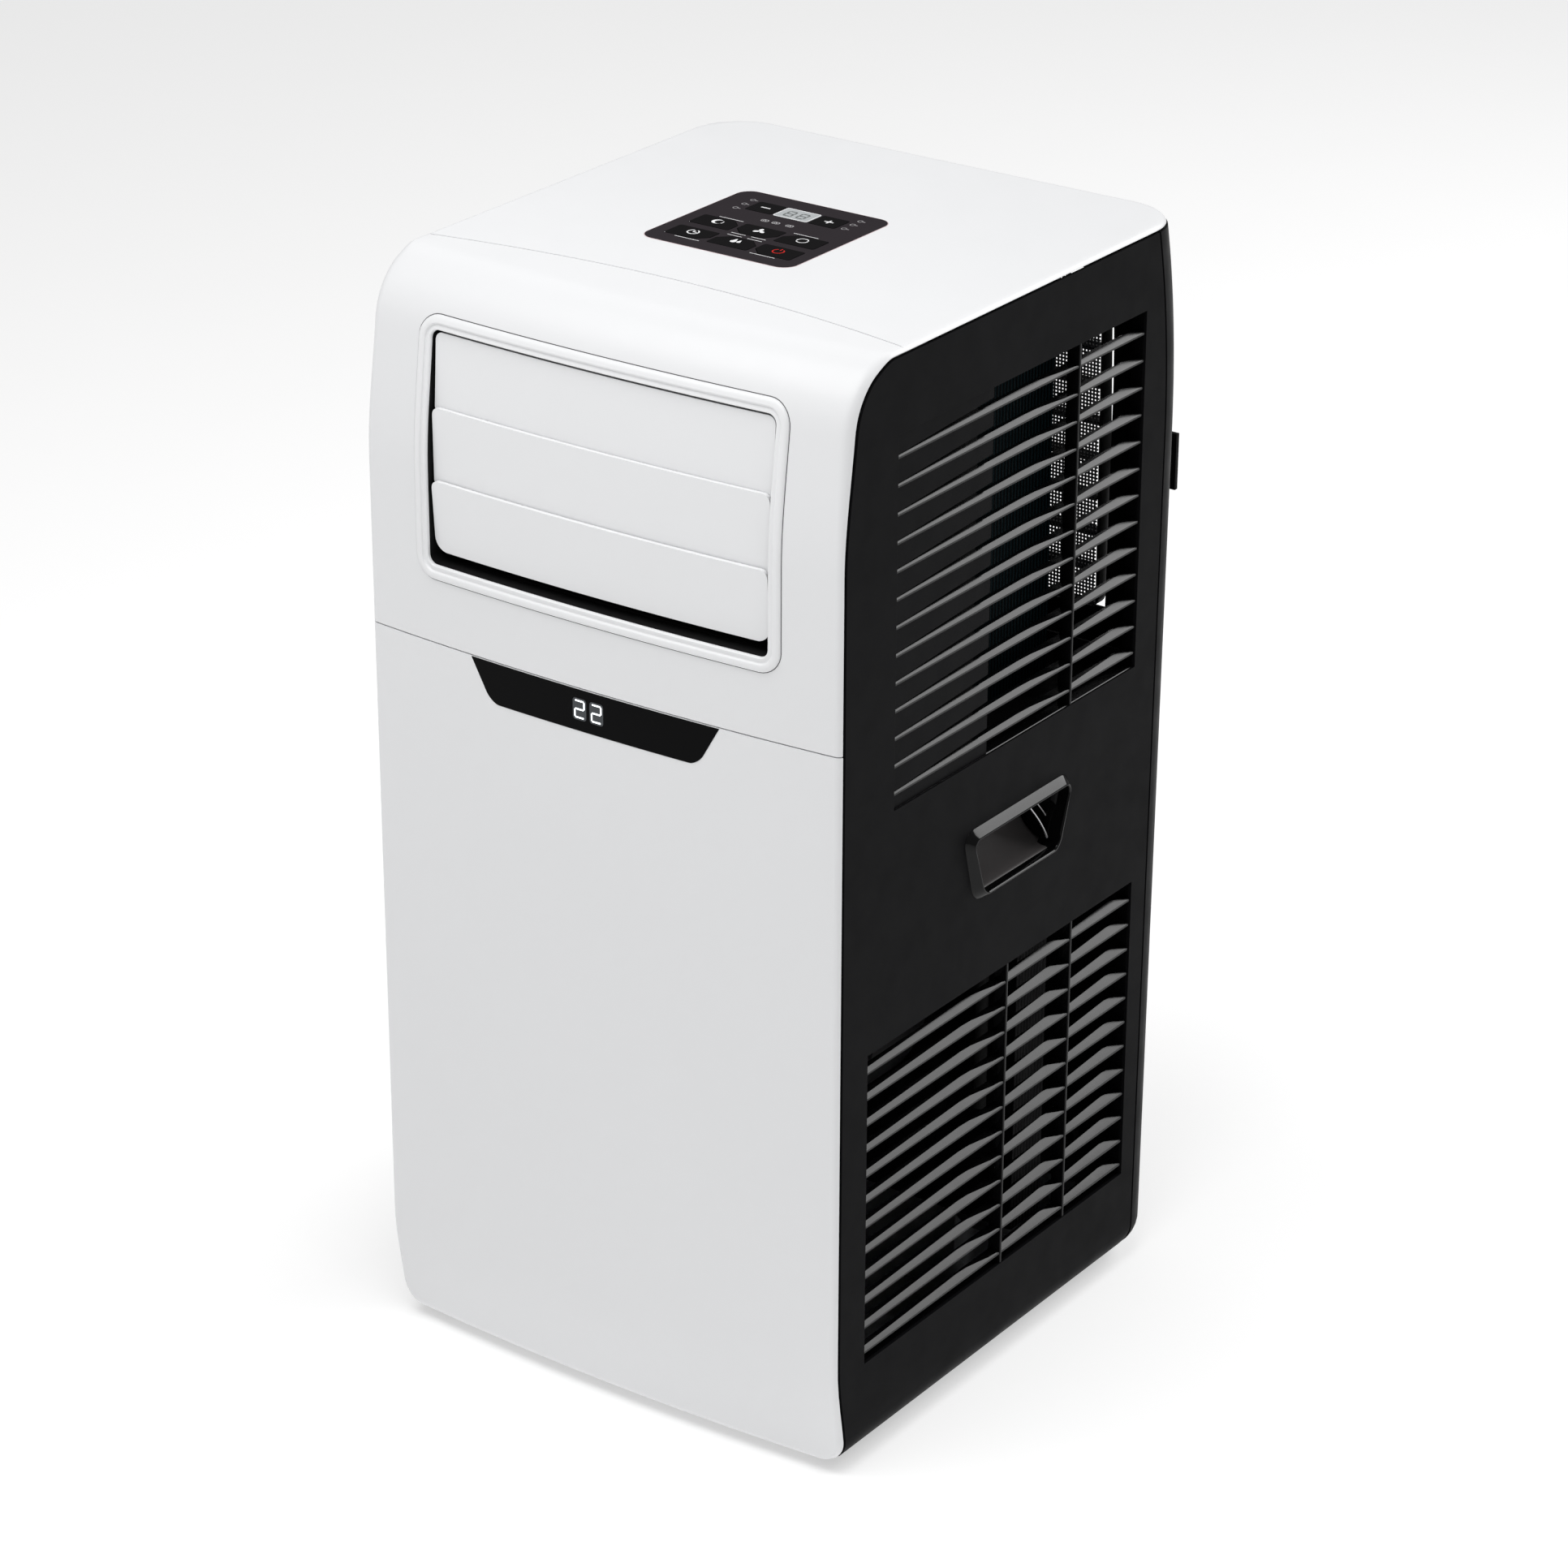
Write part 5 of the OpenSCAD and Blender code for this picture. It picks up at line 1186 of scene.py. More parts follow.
@dataclass
class SidePanel:
    """One black side: a flat panel that rolls under at the foot, two grilles and a handle."""

    form: CabinetForm
    upper: Opening
    lower: Opening
    handle: Handle
    lip: float = 9.0
    block_z: float = 31.0
    block_y: float = 66.0
    rear_line: float = 130.6
    top_roll: float = 34.0
    blank_x: float = 158.0
    blank_fore: float = -145.8
    blank_aft: float = -39.6

    def sheet(self, side: int, name: str) -> None:
        """The panel: columns that follow the front and rear borders, with cells left out at the openings.

        Formula: depth runs evenly from the front border to a fixed line, through fixed lines, and
        evenly on to the rear border; the foot turns under by a quarter circle and a lip.

        Args:
            side: 1 for the right side, -1 for the left.
            name: The side's name, which ends each piece's name.
        """
        form, handle = self.form, self.handle
        border_z, border_y = form.side_border(form.seam_gap)
        top = float(border_z[-1])
        low_block, high_block = handle.centre_z - self.block_z, handle.centre_z + self.block_z
        upright = np.unique(np.round(np.concatenate([
            np.linspace(form.foot_z + form.side_roll, self.lower.low, 6),
            np.linspace(self.lower.low, self.lower.high, 22), np.linspace(self.lower.high, low_block, 7),
            np.linspace(low_block, high_block, 15), np.linspace(high_block, self.upper.low, 6),
            np.linspace(self.upper.low, self.upper.high, 24), np.linspace(self.upper.high, top - self.top_roll, 3),
            top - self.top_roll * (1 - np.sin(np.linspace(0.0, math.pi / 2, 14)))]), 3))
        turn = np.linspace(-math.pi / 2, 0.0, 9)[:-1]
        z = np.concatenate([[form.foot_z], form.foot_z + form.side_roll * (1 + np.sin(turn)), upright])
        x = np.concatenate([[form.half_w - form.side_roll - self.lip],
                            form.half_w - form.side_roll * (1 - np.cos(turn)), np.full(len(upright), form.half_w)])
        fixed_fore, fixed_aft = self.upper.fore, self.rear_line
        base = float(np.interp(300.0, border_z, border_y))
        fore = np.array([base, *np.linspace(base + 8, self.lower.fore, 3),
                         *np.linspace(self.lower.fore, fixed_fore, 4)[1:]])
        block = (handle.centre_y - self.block_y, handle.centre_y + self.block_y)
        inner = np.unique(np.round(np.concatenate([
            np.linspace(fixed_fore, block[0], 7), np.linspace(block[0], self.lower.mullions[0], 7),
            np.linspace(*block, 27), np.linspace(block[1], self.upper.aft, 7), [self.lower.aft, fixed_aft]]), 3))
        front = np.interp(np.maximum(z, form.foot_z + 2.0), border_z, border_y)
        rear = form.back_y - form.back_set(np.maximum(z, form.foot_z + 2.0)) - form.rear_seam - form.seam_gap
        share = (fore - base) / (fixed_fore - base)
        left = front[:, None] * (1 - share)[None, :] + fixed_fore * share[None, :]
        ease = np.linspace(0.0, 1.0, 5)[1:]
        right = fixed_aft * (1 - ease)[None, :] + rear[:, None] * ease[None, :]
        y = np.concatenate([left[:, :-1], np.broadcast_to(inner, (len(z), len(inner))), right], 1)
        grid = np.stack([np.broadcast_to(side * x[:, None], y.shape), y,
                         np.broadcast_to(z[:, None], y.shape)], -1)
        mid_y = (y[1:, 1:] + y[:-1, :-1]) / 2
        mid_z = ((z[1:] + z[:-1]) / 2)[:, None]
        hole = np.zeros(mid_y.shape, bool)
        for opening in (self.upper, self.lower):
            hole |= ((mid_y > opening.fore - 0.2) & (mid_y < opening.aft)
                     & (mid_z > opening.low) & (mid_z < opening.high))
        window = (mid_y > block[0]) & (mid_y < block[1]) & (mid_z > low_block) & (mid_z < high_block)
        shape = Shape().patch(grid, (0, 0, 350), ~(hole | window))
        shape.patch(self.surround(grid[..., 1], grid[..., 2], block, (low_block, high_block), side),
                    (0, 0, 350), wrap=True)
        shape.build(f"side_skin_{name}", "cabinet", Finish.PANEL, "black_panel", (f"side_panel_{name}",),
                    form.wall, 0.3, False)

    def surround(self, y: Array, z: Array, across: tuple[float, float], up: tuple[float, float], side: int) -> Array:
        """Rings of points from the lines round the handle's block to the handle's own outline.

        Formula: each point on the block's edge joins the outline's point at the same angle.

        Args:
            y: Depths of the panel's grid.
            z: Heights of the panel's grid.
            across: The block's borders in Y.
            up: The block's borders in Z.
            side: 1 for the right side, -1 for the left.

        Returns:
            Points (rings, points round, 3).
        """
        small = 1e-3
        row = np.flatnonzero((z[:, 0] > up[0] - small) & (z[:, 0] < up[1] + small))
        column = np.flatnonzero((y[row[0]] > across[0] - small) & (y[row[0]] < across[1] + small))
        ys, zs = y[row[0], column], z[row, 0]
        edge = np.concatenate([np.column_stack([ys, np.full(len(ys), zs[0])]),
                               np.column_stack([np.full(len(zs), ys[-1]), zs])[1:],
                               np.column_stack([ys, np.full(len(ys), zs[-1])])[::-1][1:],
                               np.column_stack([np.full(len(zs), ys[0]), zs])[::-1][1:-1]])
        centre = np.array([self.handle.centre_y, self.handle.centre_z])
        loop = self.handle.outline(3.0, 12, 24)
        loop_angle = np.arctan2(loop[:, 1], loop[:, 0])
        order = np.argsort(loop_angle)
        away = edge - centre
        angle = np.arctan2(away[:, 1], away[:, 0])
        inner = np.column_stack([np.interp(angle, loop_angle[order], loop[order, axis], period=2 * math.pi)
                                 for axis in (0, 1)]) + centre
        ease = np.linspace(0.0, 1.0, 4)[:, None, None]
        rings = edge[None] * (1 - ease) + inner[None] * ease
        return np.concatenate([np.full((*rings.shape[:2], 1), side * self.form.half_w), rings], -1)

    def screens(self, side: int, name: str) -> None:
        """The dark inner screen behind the fore part of the upper grille: a ribbed upright sheet.

        Args:
            side: 1 for the right side, -1 for the left.
            name: The side's name, which ends each piece's name.
        """
        y = np.linspace(self.blank_fore, self.blank_aft, 44)
        z = np.array([self.upper.low - 4.0, self.upper.high + 4.0])
        x = self.blank_x + 0.25 * np.cos(np.arange(len(y)) * math.pi)
        grid = np.stack([np.broadcast_to(side * x, (2, len(y))), np.broadcast_to(y, (2, len(y))),
                         np.broadcast_to(z[:, None], (2, len(y)))], -1)
        Shape().patch(grid, (0, 0, 550)).build(f"inner_screen_{name}", "cabinet", Finish.BLANK, "dark_duct",
                                               wall=1.2, closed=False)

    def build(self, side: int, name: str) -> None:
        """Builds one side.

        Args:
            side: 1 for the right side, -1 for the left.
            name: The side's name, which ends each piece's name.
        """
        self.sheet(side, name)
        for opening, level in ((self.upper, "upper"), (self.lower, "lower")):
            grille = Grille(self.form, opening)
            blades, walls = Shape(), Shape()
            grille.add_blades(blades, side)
            grille.add_walls(walls, side)
            blades.build(f"grille_blades_{level}_{name}", "cabinet", Finish.BLADE, "black_panel")
            walls.build(f"grille_frame_{level}_{name}", "cabinet", Finish.GLOSS, "black_panel")
        plates = Shape()
        Grille(self.form, self.upper).add_plates(plates, side, self.blank_aft)
        plates.build(f"grille_plates_{name}", "cabinet", Finish.PANEL, "black_panel", edge=0.15)
        self.screens(side, name)
        self.handle.build(side, name)


# ---------------------------------------------------------------- outlet
@dataclass
class Outlet:
    """The cold air outlet: a stepped bezel and three shingled flaps."""

    form: CabinetForm
    low: float = 523.51
    high: float = 686.043
    half: float = 132.825
    corner: float = 15.0
    flap_half: float = 121.725
    flap_t: float = 2.4
    flap_over: float = 2.5
    flap_tilt_in: float = 3.0
    flap_pitch: float = 45.011
    flap_proud: float = 2.2
    flap_corner: float = 5.0
    last_corner: float = 9.0
    hidden_corner: float = 2.0
    flap_z: tuple[float, ...] = (652.538, 607.527, 562.515)
    pivot_y: tuple[float, ...] = (-175.135, -180.046, -180.6)
    names: tuple[str, ...] = ("top", "middle", "bottom")

    def carry(self, section: list[tuple[float, float]]) -> Array:
        """Carries a section of insets and stand-offs round the outlet, on the bowed and leaning front.

        Args:
            section: Pairs of an inset from the outline and a stand-off from the front face.

        Returns:
            Points (pairs, points round, 3).
        """
        middle = (self.low + self.high) / 2
        rows = []
        for inset, stand in section:
            loop = rounded_loop(self.half - inset, (self.high - self.low) / 2 - inset,
                                max(3.0, self.corner - inset), side=26)
            z = loop[:, 1] + middle
            rows.append(np.column_stack([loop[:, 0], self.form.face_y(loop[:, 0], z) - stand, z]))
        return np.stack(rows)

    def frame(self) -> None:
        """The bezel: two soft steps inside a fine seam, the dark throat behind it, and a thin dark ribbon round it
        that is painted shadow for the seam's gap.
        """
        section = [(0.35, -2.6), (0.35, 0.25), (0.7, 0.95), (1.5, 1.5), (2.9, 1.75), (4.4, 1.7),
                   (5.2, 1.2), (5.6, 0.35), (6.2, 0.05), (7.6, 0.4), (8.5, 0.45), (9.1, -0.1),
                   (9.3, -0.9), (9.3, -1.6), (7.9, -1.7), (6.8, -2.6)]
        # The bezel takes the white painted lighter, the same as the flaps.
        Shape().patch(self.carry(section), wrap=True, wrap_rows=True).build(
            "outlet_bezel", "cabinet", Finish.WHITE_PAINTED_LIGHTER, "white_shell", ("outlet_frame",))
        Shape().patch(self.carry([(9.5, -1.7), (9.5, -12.0), (8.0, -12.0), (8.0, -1.9)]), wrap=True,
                      wrap_rows=True).build("outlet_throat", "cabinet", Finish.DARK, "dark_duct")
        # Painted shadow: this dark ribbon stands in for the shade in the hairline gap round the bezel.
        Shape().patch(self.carry([(0.35, -0.1), (0.35, 0.03), (-0.15, 0.03), (-0.15, -0.1)]), wrap=True,
                      wrap_rows=True).build("outlet_seam_shadow", "cabinet", Finish.SEAM_SHADOW, "white_shell")

    def flap(self, index: int) -> None:
        """One flap: a bowed plate whose foot tilts in behind the next one's top edge, and its hinge arms.

        Formula: half width less the corner arcs, depth on a straight lean from foot to top less the crown.

        Args:
            index: Which flap, counted from the top.
        """
        form, name = self.form, self.names[index]
        last = index == len(self.names) - 1
        high = self.flap_z[index] + self.flap_pitch / 2
        low = self.flap_z[index] - self.flap_pitch / 2 - (0.0 if last else self.flap_over)
        y_high = float(form.edge_y + form.front_set(high)) - self.flap_proud
        y_low = float(form.edge_y + form.front_set(low)) - self.flap_proud
        set_back = self.flap_proud * 2
        y_high, y_low = y_high + set_back, y_low + set_back + self.flap_tilt_in
        radius_low = self.last_corner if last else self.hidden_corner
        ease = np.linspace(0.0, math.pi / 2, 8)
        z = np.unique(np.round(np.concatenate([
            low + radius_low * (1 - np.cos(ease)), np.linspace(low + 10, high - 6, 7),
            high - self.flap_corner * (1 - np.cos(ease))]), 4))
        half = self.flap_half - arc_in(radius_low, z - low) - arc_in(self.flap_corner, high - z)
        share = np.sin(np.linspace(-math.pi / 2, math.pi / 2, 45))
        share = 0.5 * share + 0.5 * np.linspace(-1.0, 1.0, 45)
        x = share[None, :] * half[:, None]
        lean = (z - low) / (high - low)
        y = (y_low + (y_high - y_low) * lean)[:, None] - form.crown(x)
        grid = np.stack([x, y, np.broadcast_to(z[:, None], x.shape)], -1)
        plate = Shape().patch(grid, (0, 0, self.flap_z[index]))
        # The flaps take the white painted lighter, as painted light for their downward tilt.
        plate.build(f"flap_plate_{name}", f"flap_{name}", Finish.WHITE_PAINTED_LIGHTER, "white_shell", (f"flap_{name}",),
                    self.flap_t, 0.7, False)
        arms = Shape()
        middle, pivot = self.flap_z[index], self.pivot_y[index]
        plate_y = (y_low + y_high) / 2 - float(form.crown(self.flap_half)) + self.flap_t * 0.7
        outline = np.concatenate([np.array([[plate_y, middle + 3.9], [plate_y, middle - 4.1]]),
                                  np.array([pivot, middle]) + 4.2 * np.column_stack([
                                      np.cos(np.linspace(-1.4, 1.4, 12)), np.sin(np.linspace(-1.4, 1.4, 12))])])
        pin = ring_points(2.5, count=20)
        for side in (-1, 1):
            ends = side * np.array([self.flap_half - 3.4, self.flap_half - 0.4])
            arms.solid(np.stack([np.column_stack([np.full(len(outline), x), outline]) for x in ends]))
            reach = side * np.array([self.flap_half - 1.0, self.flap_half + 7.1, self.flap_half + 7.4])
            arms.solid(np.stack([np.column_stack([np.full(20, x), pin * shrink + np.array([pivot, middle])])
                                 for x, shrink in zip(reach, (1.0, 1.0, 0.88))]))
        arms.build(f"flap_arms_{name}", f"flap_{name}", Finish.DARK, "dark_duct")

    def build(self) -> None:
        """Builds the bezel and the flaps."""
        self.frame()
        for index in range(len(self.names)):
            self.flap(index)


# ---------------------------------------------------------------- display
@dataclass
class Display:
    """The gloss display on the front, with two glowing digits."""

    form: CabinetForm
    half: float = 91.0
    taper: float = 15.0
    high: float = 481.9
    height: float = 26.4
    corner: float = 7.0
    digit_h: float = 10.6
    digit_w: float = 6.8
    digit_x: tuple[float, ...] = (-8.6, 3.8)
    digit_z: float = 469.4
    stroke: float = 0.95
    lit: tuple[int, ...] = (0, 1, 6, 4, 3)

    def segments(self) -> list[Array]:
        """The lit bars of one digit, with pointed ends; 0 to 5 run round from the top, and 6 is the middle.

        Returns:
            The outline of each lit bar, about the digit's own middle.
        """
        w, h, s = self.digit_w / 2, self.digit_h / 2, self.stroke / 2
        ends = {0: ((-w, h), (w, h)), 1: ((w, h), (w, 0)), 2: ((w, 0), (w, -h)), 3: ((-w, -h), (w, -h)),
                4: ((-w, 0), (-w, -h)), 5: ((-w, h), (-w, 0)), 6: ((-w, 0), (w, 0))}
        bars = []
        for key in self.lit:
            a, b = np.array(ends[key][0], float), np.array(ends[key][1], float)
            along = (b - a) / np.linalg.norm(b - a)
            out = np.array([-along[1], along[0]]) * s
            gap = 0.18 * along
            bars.append(np.array([a + gap, a + along * s + out, b - along * s + out, b - gap,
                                  b - along * s - out, a + along * s - out]))
        return bars

    def build(self) -> None:
        """Builds the window and the digits.

        Formula of the window: half width falls evenly down the taper and by the corner arc at the foot.
        """
        form = self.form
        low = self.high - self.height
        ease = np.linspace(0.0, math.pi / 2, 10)
        z = np.concatenate([low + self.corner * (1 - np.cos(ease)), np.linspace(low + self.corner, self.high, 8)[1:]])
        half = self.half - self.taper * (self.high - z) / self.height - arc_in(self.corner, z - low) * 0.9
        x = np.linspace(-1.0, 1.0, 61)[None, :] * half[:, None]
        y = form.edge_y - 0.3 - form.crown(x)
        grid = np.stack([x, y, np.broadcast_to(z[:, None], x.shape)], -1)
        Shape().patch(grid, (0, 0, 470)).build("display_glass", "cabinet", Finish.GLASS, "display_glass",
                                               ("display_window",), 1.6, 0.3, False)
        digits, halo = Shape(), Shape()
        lift = Lift(form)
        for x0 in self.digit_x:
            for bar in self.segments():
                digits.slab([bar + np.array([x0, self.digit_z])], 0.15, 0.42, lift)
            halo.slab([rounded_loop(self.digit_w / 2 + 1.6, self.digit_h / 2 + 1.6, 2.0, corner=5, side=2)
                       + np.array([x0, self.digit_z])], 0.1, 0.33, lift)
        digits.build("display_digits", "cabinet", Finish.GLOWING, "display_glass")
        halo.build("display_halo", "cabinet", Finish.HALO, "display_glass")


# ---------------------------------------------------------------- keypad
class Mark(Enum):
    """The sign on a key."""

    MINUS = "minus"
    PLUS = "plus"
    MOON = "moon"
    BLADES = "blades"
    CYCLE = "cycle"
    CLOCK = "clock"
    DROPS = "drops"
    POWER = "power"


@dataclass(frozen=True)
class Key:
    """One key: its node, its place and size, its cut corners and its sign."""

    node: str
    x: float
    y: float
    width: float
    depth: float
    cuts: tuple[float, float, float, float]
    mark: Mark

    def outline(self, grow: float) -> Array:
        """The key's outline, grown by a distance, with rounded and cut corners.

        Args:
            grow: The distance; it is below nought to shrink the outline.

        Returns:
            The outline's points, in place on the top.
        """
        x, y = self.width / 2 + grow, self.depth / 2 + grow
        corners: list[tuple[float, float]] = []
        signs = ((-1, -1), (1, -1), (1, 1), (-1, 1))
        for (sx, sy), cut in zip(signs, self.cuts):
            if cut > 0:
                first = (sx * x, sy * (y - cut)) if sx * sy > 0 else (sx * (x - cut), sy * y)
                last = (sx * (x - cut), sy * y) if sx * sy > 0 else (sx * x, sy * (y - cut))
                corners += [first, last]
            else:
                corners.append((sx * x, sy * y))
        return rounded_polygon(corners, 1.5 + grow, 5) + np.array([self.x, self.y])


@dataclass
class Keypad:
    """The grey overlay on the top with its keys, its small read-out and its printed signs."""

    form: CabinetForm
    centre_x: float = -13.5
    centre_y: float = -6.9
    half: float = 54.0
    corner: float = 9.6
    rows: tuple[float, float, float] = (24.42, -15.0, -39.3)
    pitch: float = 31.0
    gap: float = 0.35
    cut: float = 7.0
    print_h: float = 0.05
    print_sink: float = 0.03
    key_proud: float = 0.33
    key_deep: float = 2.4
    edge_proud: float = 0.12
    window_proud: float = 0.25
    window_base: float = 0.22
    dots_x: tuple[float, ...] = (-23.0, -15.0, -5.0)
    dots_y: float = 4.6
    lamps: tuple[tuple[float, float], ...] = ((-52.0, 32.6), (-52.0, 23.6), (-52.0, 14.6),
                                              (24.0, 36.6), (24.0, 28.6), (24.0, 19.6))
    sheet_proud: float = 0.2
    sink: float = 1.0

    def keys(self) -> list[Key]:
        """The eight keys.

        Returns:
            The keys, row by row from the rear.
        """
        x, c = self.centre_x, self.cut
        top, middle, low = self.rows
        w, d = self.pitch - 2.2, 17.0
        return [Key("key_minus", x - 23.2, top, 19.0, d, (0, 0, 0, 0), Mark.MINUS),
                Key("key_plus", x + 23.2, top, 19.0, d, (0, 0, 0, 0), Mark.PLUS),
                Key("key_sleep", x - self.pitch, middle, w, d, (0, 0, c, 0), Mark.MOON),
                Key("key_speed", x, middle, w, d, (c, c, 0, 0), Mark.BLADES),
                Key("key_mode", x + self.pitch, middle, w, d, (0, 0, 0, c), Mark.CYCLE),
                Key("key_timer", x - self.pitch, low, w, d, (0, c, 0, 0), Mark.CLOCK),
                Key("key_dry", x, low, w, d, (0, 0, c, c), Mark.DROPS),
                Key("key_power", x + self.pitch, low, w, d, (c, 0, 0, 0), Mark.POWER)]

    def window(self) -> Key:
        """The read-out's outline, drawn as a key's is; it carries no sign."""
        return Key("lcd_window", self.centre_x, self.rows[0], 25.0, 17.0, (0, 0, 0, 0), Mark.MINUS)

    def sign(self, mark: Mark) -> list[list[Array]]:
        """The printed loops of a sign, about its own middle: each entry is an outline and its holes.

        Args:
            mark: Which sign.

        Returns:
            The loops, each outline with its holes.
        """
        bar = rounded_loop(3.4, 0.6, 0.35, corner=3, side=1)
        if mark is Mark.MINUS:
            return [[bar]]
        if mark is Mark.PLUS:
            cross = np.array([(-3.2, -.55), (-.55, -.55), (-.55, -2.8), (.55, -2.8), (.55, -.55), (3.2, -.55),
                              (3.2, .55), (.55, .55), (.55, 2.8), (-.55, 2.8), (-.55, .55), (-3.2, .55)])
            return [[cross]]
        if mark is Mark.MOON:
            outer = ring_points(3.7, 50, 310, 22)
            inner = ring_points(3.0, 305, 55, 18, (1.5, 0.0))
            return [[np.concatenate([outer, inner])], [ribbon(ring_points(3.9, -28, 30, 10), 0.5)]]
        if mark is Mark.BLADES:
            leaves = []
            for turn in (90.0, 210.0, 330.0):
                a = math.radians(turn)
                leaf = ring_points(1.0, count=16) * np.array([2.0, 1.35]) + np.array([2.2, 0.35])
                spin = np.array([[math.cos(a), -math.sin(a)], [math.sin(a), math.cos(a)]])
                leaves.append([leaf @ spin.T])
            return leaves
        if mark is Mark.CYCLE:
            return [[ribbon(ring_points(3.6, 20, 200, 22), 0.75)], [ribbon(ring_points(3.6, 212, 372, 22), 0.75)]]
        if mark is Mark.CLOCK:
            return [[ribbon(ring_points(3.6, 110, 430, 34), 0.85)],
                    [np.array([(-0.4, -0.4), (2.5, -0.4), (2.5, 0.4), (0.4, 0.4), (0.4, 2.5), (-0.4, 2.5)])]]
        if mark is Mark.DROPS:
            return [[self.drop(1.0) + np.array([-1.6, -0.2])], [self.drop(0.7) + np.array([1.9, 0.3])]]
        return [[ribbon(ring_points(3.5, 122, 418, 32), 0.75)],
                [rounded_loop(0.4, 1.5, 0.3, corner=3, side=1) + np.array([0.0, 3.2])]]

    def drop(self, size: float) -> Array:
        """A drop's outline: a circle whose upper half is drawn up to a point by its height squared.

        Args:
            size: The drop's size, 1 for the larger one.

        Returns:
            The outline's points.
        """
        loop = ring_points(1.0, 90, 450, 24)
        rise = np.clip(loop[:, 1], 0.0, 1.0)
        return np.column_stack([loop[:, 0] * (1 - 0.55 * rise), loop[:, 1] + 1.3 * rise ** 2]) * 2.0 * size

    def overlay(self) -> None:
        """The overlay: a thin plate with the keys' holes in it, and its pale cut edge."""
        top = self.form.top_z
        centre = np.array([self.centre_x, self.centre_y])
        outline = rounded_loop(self.half + 0.4, self.half + 0.4, self.corner, corner=12, side=2) + centre
        holes = [key.outline(self.gap) for key in [*self.keys(), self.window()]]
        Shape().slab([outline, *holes], top - self.sink, top + self.sheet_proud).build(
            "keypad_overlay", "cabinet", Finish.OVERLAY, "overlay_grey", ("control_overlay",))
        rim = rounded_loop(self.half + 0.85, self.half + 0.85, self.corner + 0.4, corner=12, side=2) + centre
        Shape().slab([rim, outline], top - self.sink, top + self.edge_proud).build(
            "keypad_edge", "cabinet", Finish.OVERLAY_EDGE, "overlay_grey")

    def read_out(self) -> None:
        """The small read-out between the two upper keys: a pale window, a white border and two dark digits."""
        top = self.form.top_z
        window = self.window()
        Shape().slab([window.outline(0.0)], top - self.sink, top + self.window_proud).build(
            "keypad_window", "cabinet", Finish.READOUT, "display_glass", ("lcd_window",))
        Shape().slab([window.outline(-0.1), window.outline(-0.75)], top + self.window_base, top + 0.3).build(
            "keypad_window_border", "cabinet", Finish.PRINT, "overlay_grey")
        digit = Display(self.form, digit_h=8.4, digit_w=5.2, stroke=1.2, lit=tuple(range(7)))
        shape = Shape()
        for x0 in (-4.6, 4.6):
            for bar in digit.segments():
                place = np.array([self.centre_x + x0, self.rows[0] - 0.6])
                shape.slab([bar + place], top + self.window_base, top + 0.29)
        shape.build("keypad_window_digits", "cabinet", Finish.SEGMENT, "display_glass")

    def key(self, key: Key) -> None:
        """One key: its slab and its sign, both on the key's own body.

        Args:
            key: The key to build.
        """
        top = self.form.top_z + self.key_proud
        Shape().slab([key.outline(0.0)], self.form.top_z - self.key_deep, top).build(
            key.node + "_cap", key.node, Finish.KEY, "gloss_black", (key.node,))
        shape = Shape()
        shift = np.array([key.x, key.y + (0.0 if key.mark in (Mark.MINUS, Mark.PLUS) else 1.2)])
        for loops in self.sign(key.mark):
            shape.slab([loop + shift for loop in loops], top - self.print_sink, top + self.print_h)
        finish = Finish.RED_PRINT if key.mark is Mark.POWER else Finish.PRINT
        shape.build(key.node + "_sign", key.node, finish, "overlay_grey")

    def lines(self) -> None:
        """The outlines printed round the keys, and the second lines above and below the rows."""
        top = self.form.top_z + self.sheet_proud
        shape = Shape()
        for key in self.keys():
            shape.slab([key.outline(-0.38), key.outline(-1.0)], top - self.print_sink, top + self.print_h)
        for row, turn in ((self.rows[1], 1.0), (self.rows[2], -1.0)):
            for side in (-1.0, 1.0):
                bend = self.centre_x + side * self.pitch / 2
                for first, last, level in ((bend + side * 20.8, bend + side * 3.0, row + turn * 10.2),
                                           (bend - side * 3.0, self.centre_x + side * 2.0, row - turn * 10.2)):
                    path = np.column_stack([np.linspace(first, last, 4), np.full(4, level)])
                    shape.slab([ribbon(path, 0.5)], top - self.print_sink, top + self.print_h)
        shape.build("keypad_lines", "cabinet", Finish.PRINT, "overlay_grey")

    def small_signs(self) -> None:
        """The small printed lamps round the read-out: rings, dots and bars."""
        top = self.form.top_z + self.sheet_proud
        dim = Shape()
        for x in self.dots_x:
            centre = np.array([x, self.dots_y])
            dim.slab([rounded_loop(2.7, 1.9, 1.6, corner=6, side=1) + centre,
                      rounded_loop(2.1, 1.35, 1.2, corner=6, side=1) + centre],
                     top - self.print_sink, top + self.print_h)
            for turn in (90.0, 210.0, 330.0):
                spot = ring_points(0.55, count=10, centre=(x + 0.9 * math.cos(math.radians(turn)),
                                                          self.dots_y + 0.75 * math.sin(math.radians(turn))))
                dim.slab([spot], top - self.print_sink, top + self.print_h)
        for x, y in self.lamps:
            centre = np.array([x, y])
            dim.slab([ribbon(ring_points(1.6, 30, 330, 18, (x, y)), 0.4)], top - self.print_sink, top + self.print_h)
            dim.slab([rounded_loop(1.4, 0.28, 0.2, corner=3, side=1) + centre + np.array([2.2, 0.0])],
                     top - self.print_sink, top + self.print_h)
        dim.build("keypad_lamps", "cabinet", Finish.GREY_PRINT, "overlay_grey")

    def build(self) -> None:
        """Builds the whole keypad."""
        self.overlay()
        self.read_out()
        self.lines()
        self.small_signs()
        for key in self.keys():
            self.key(key)


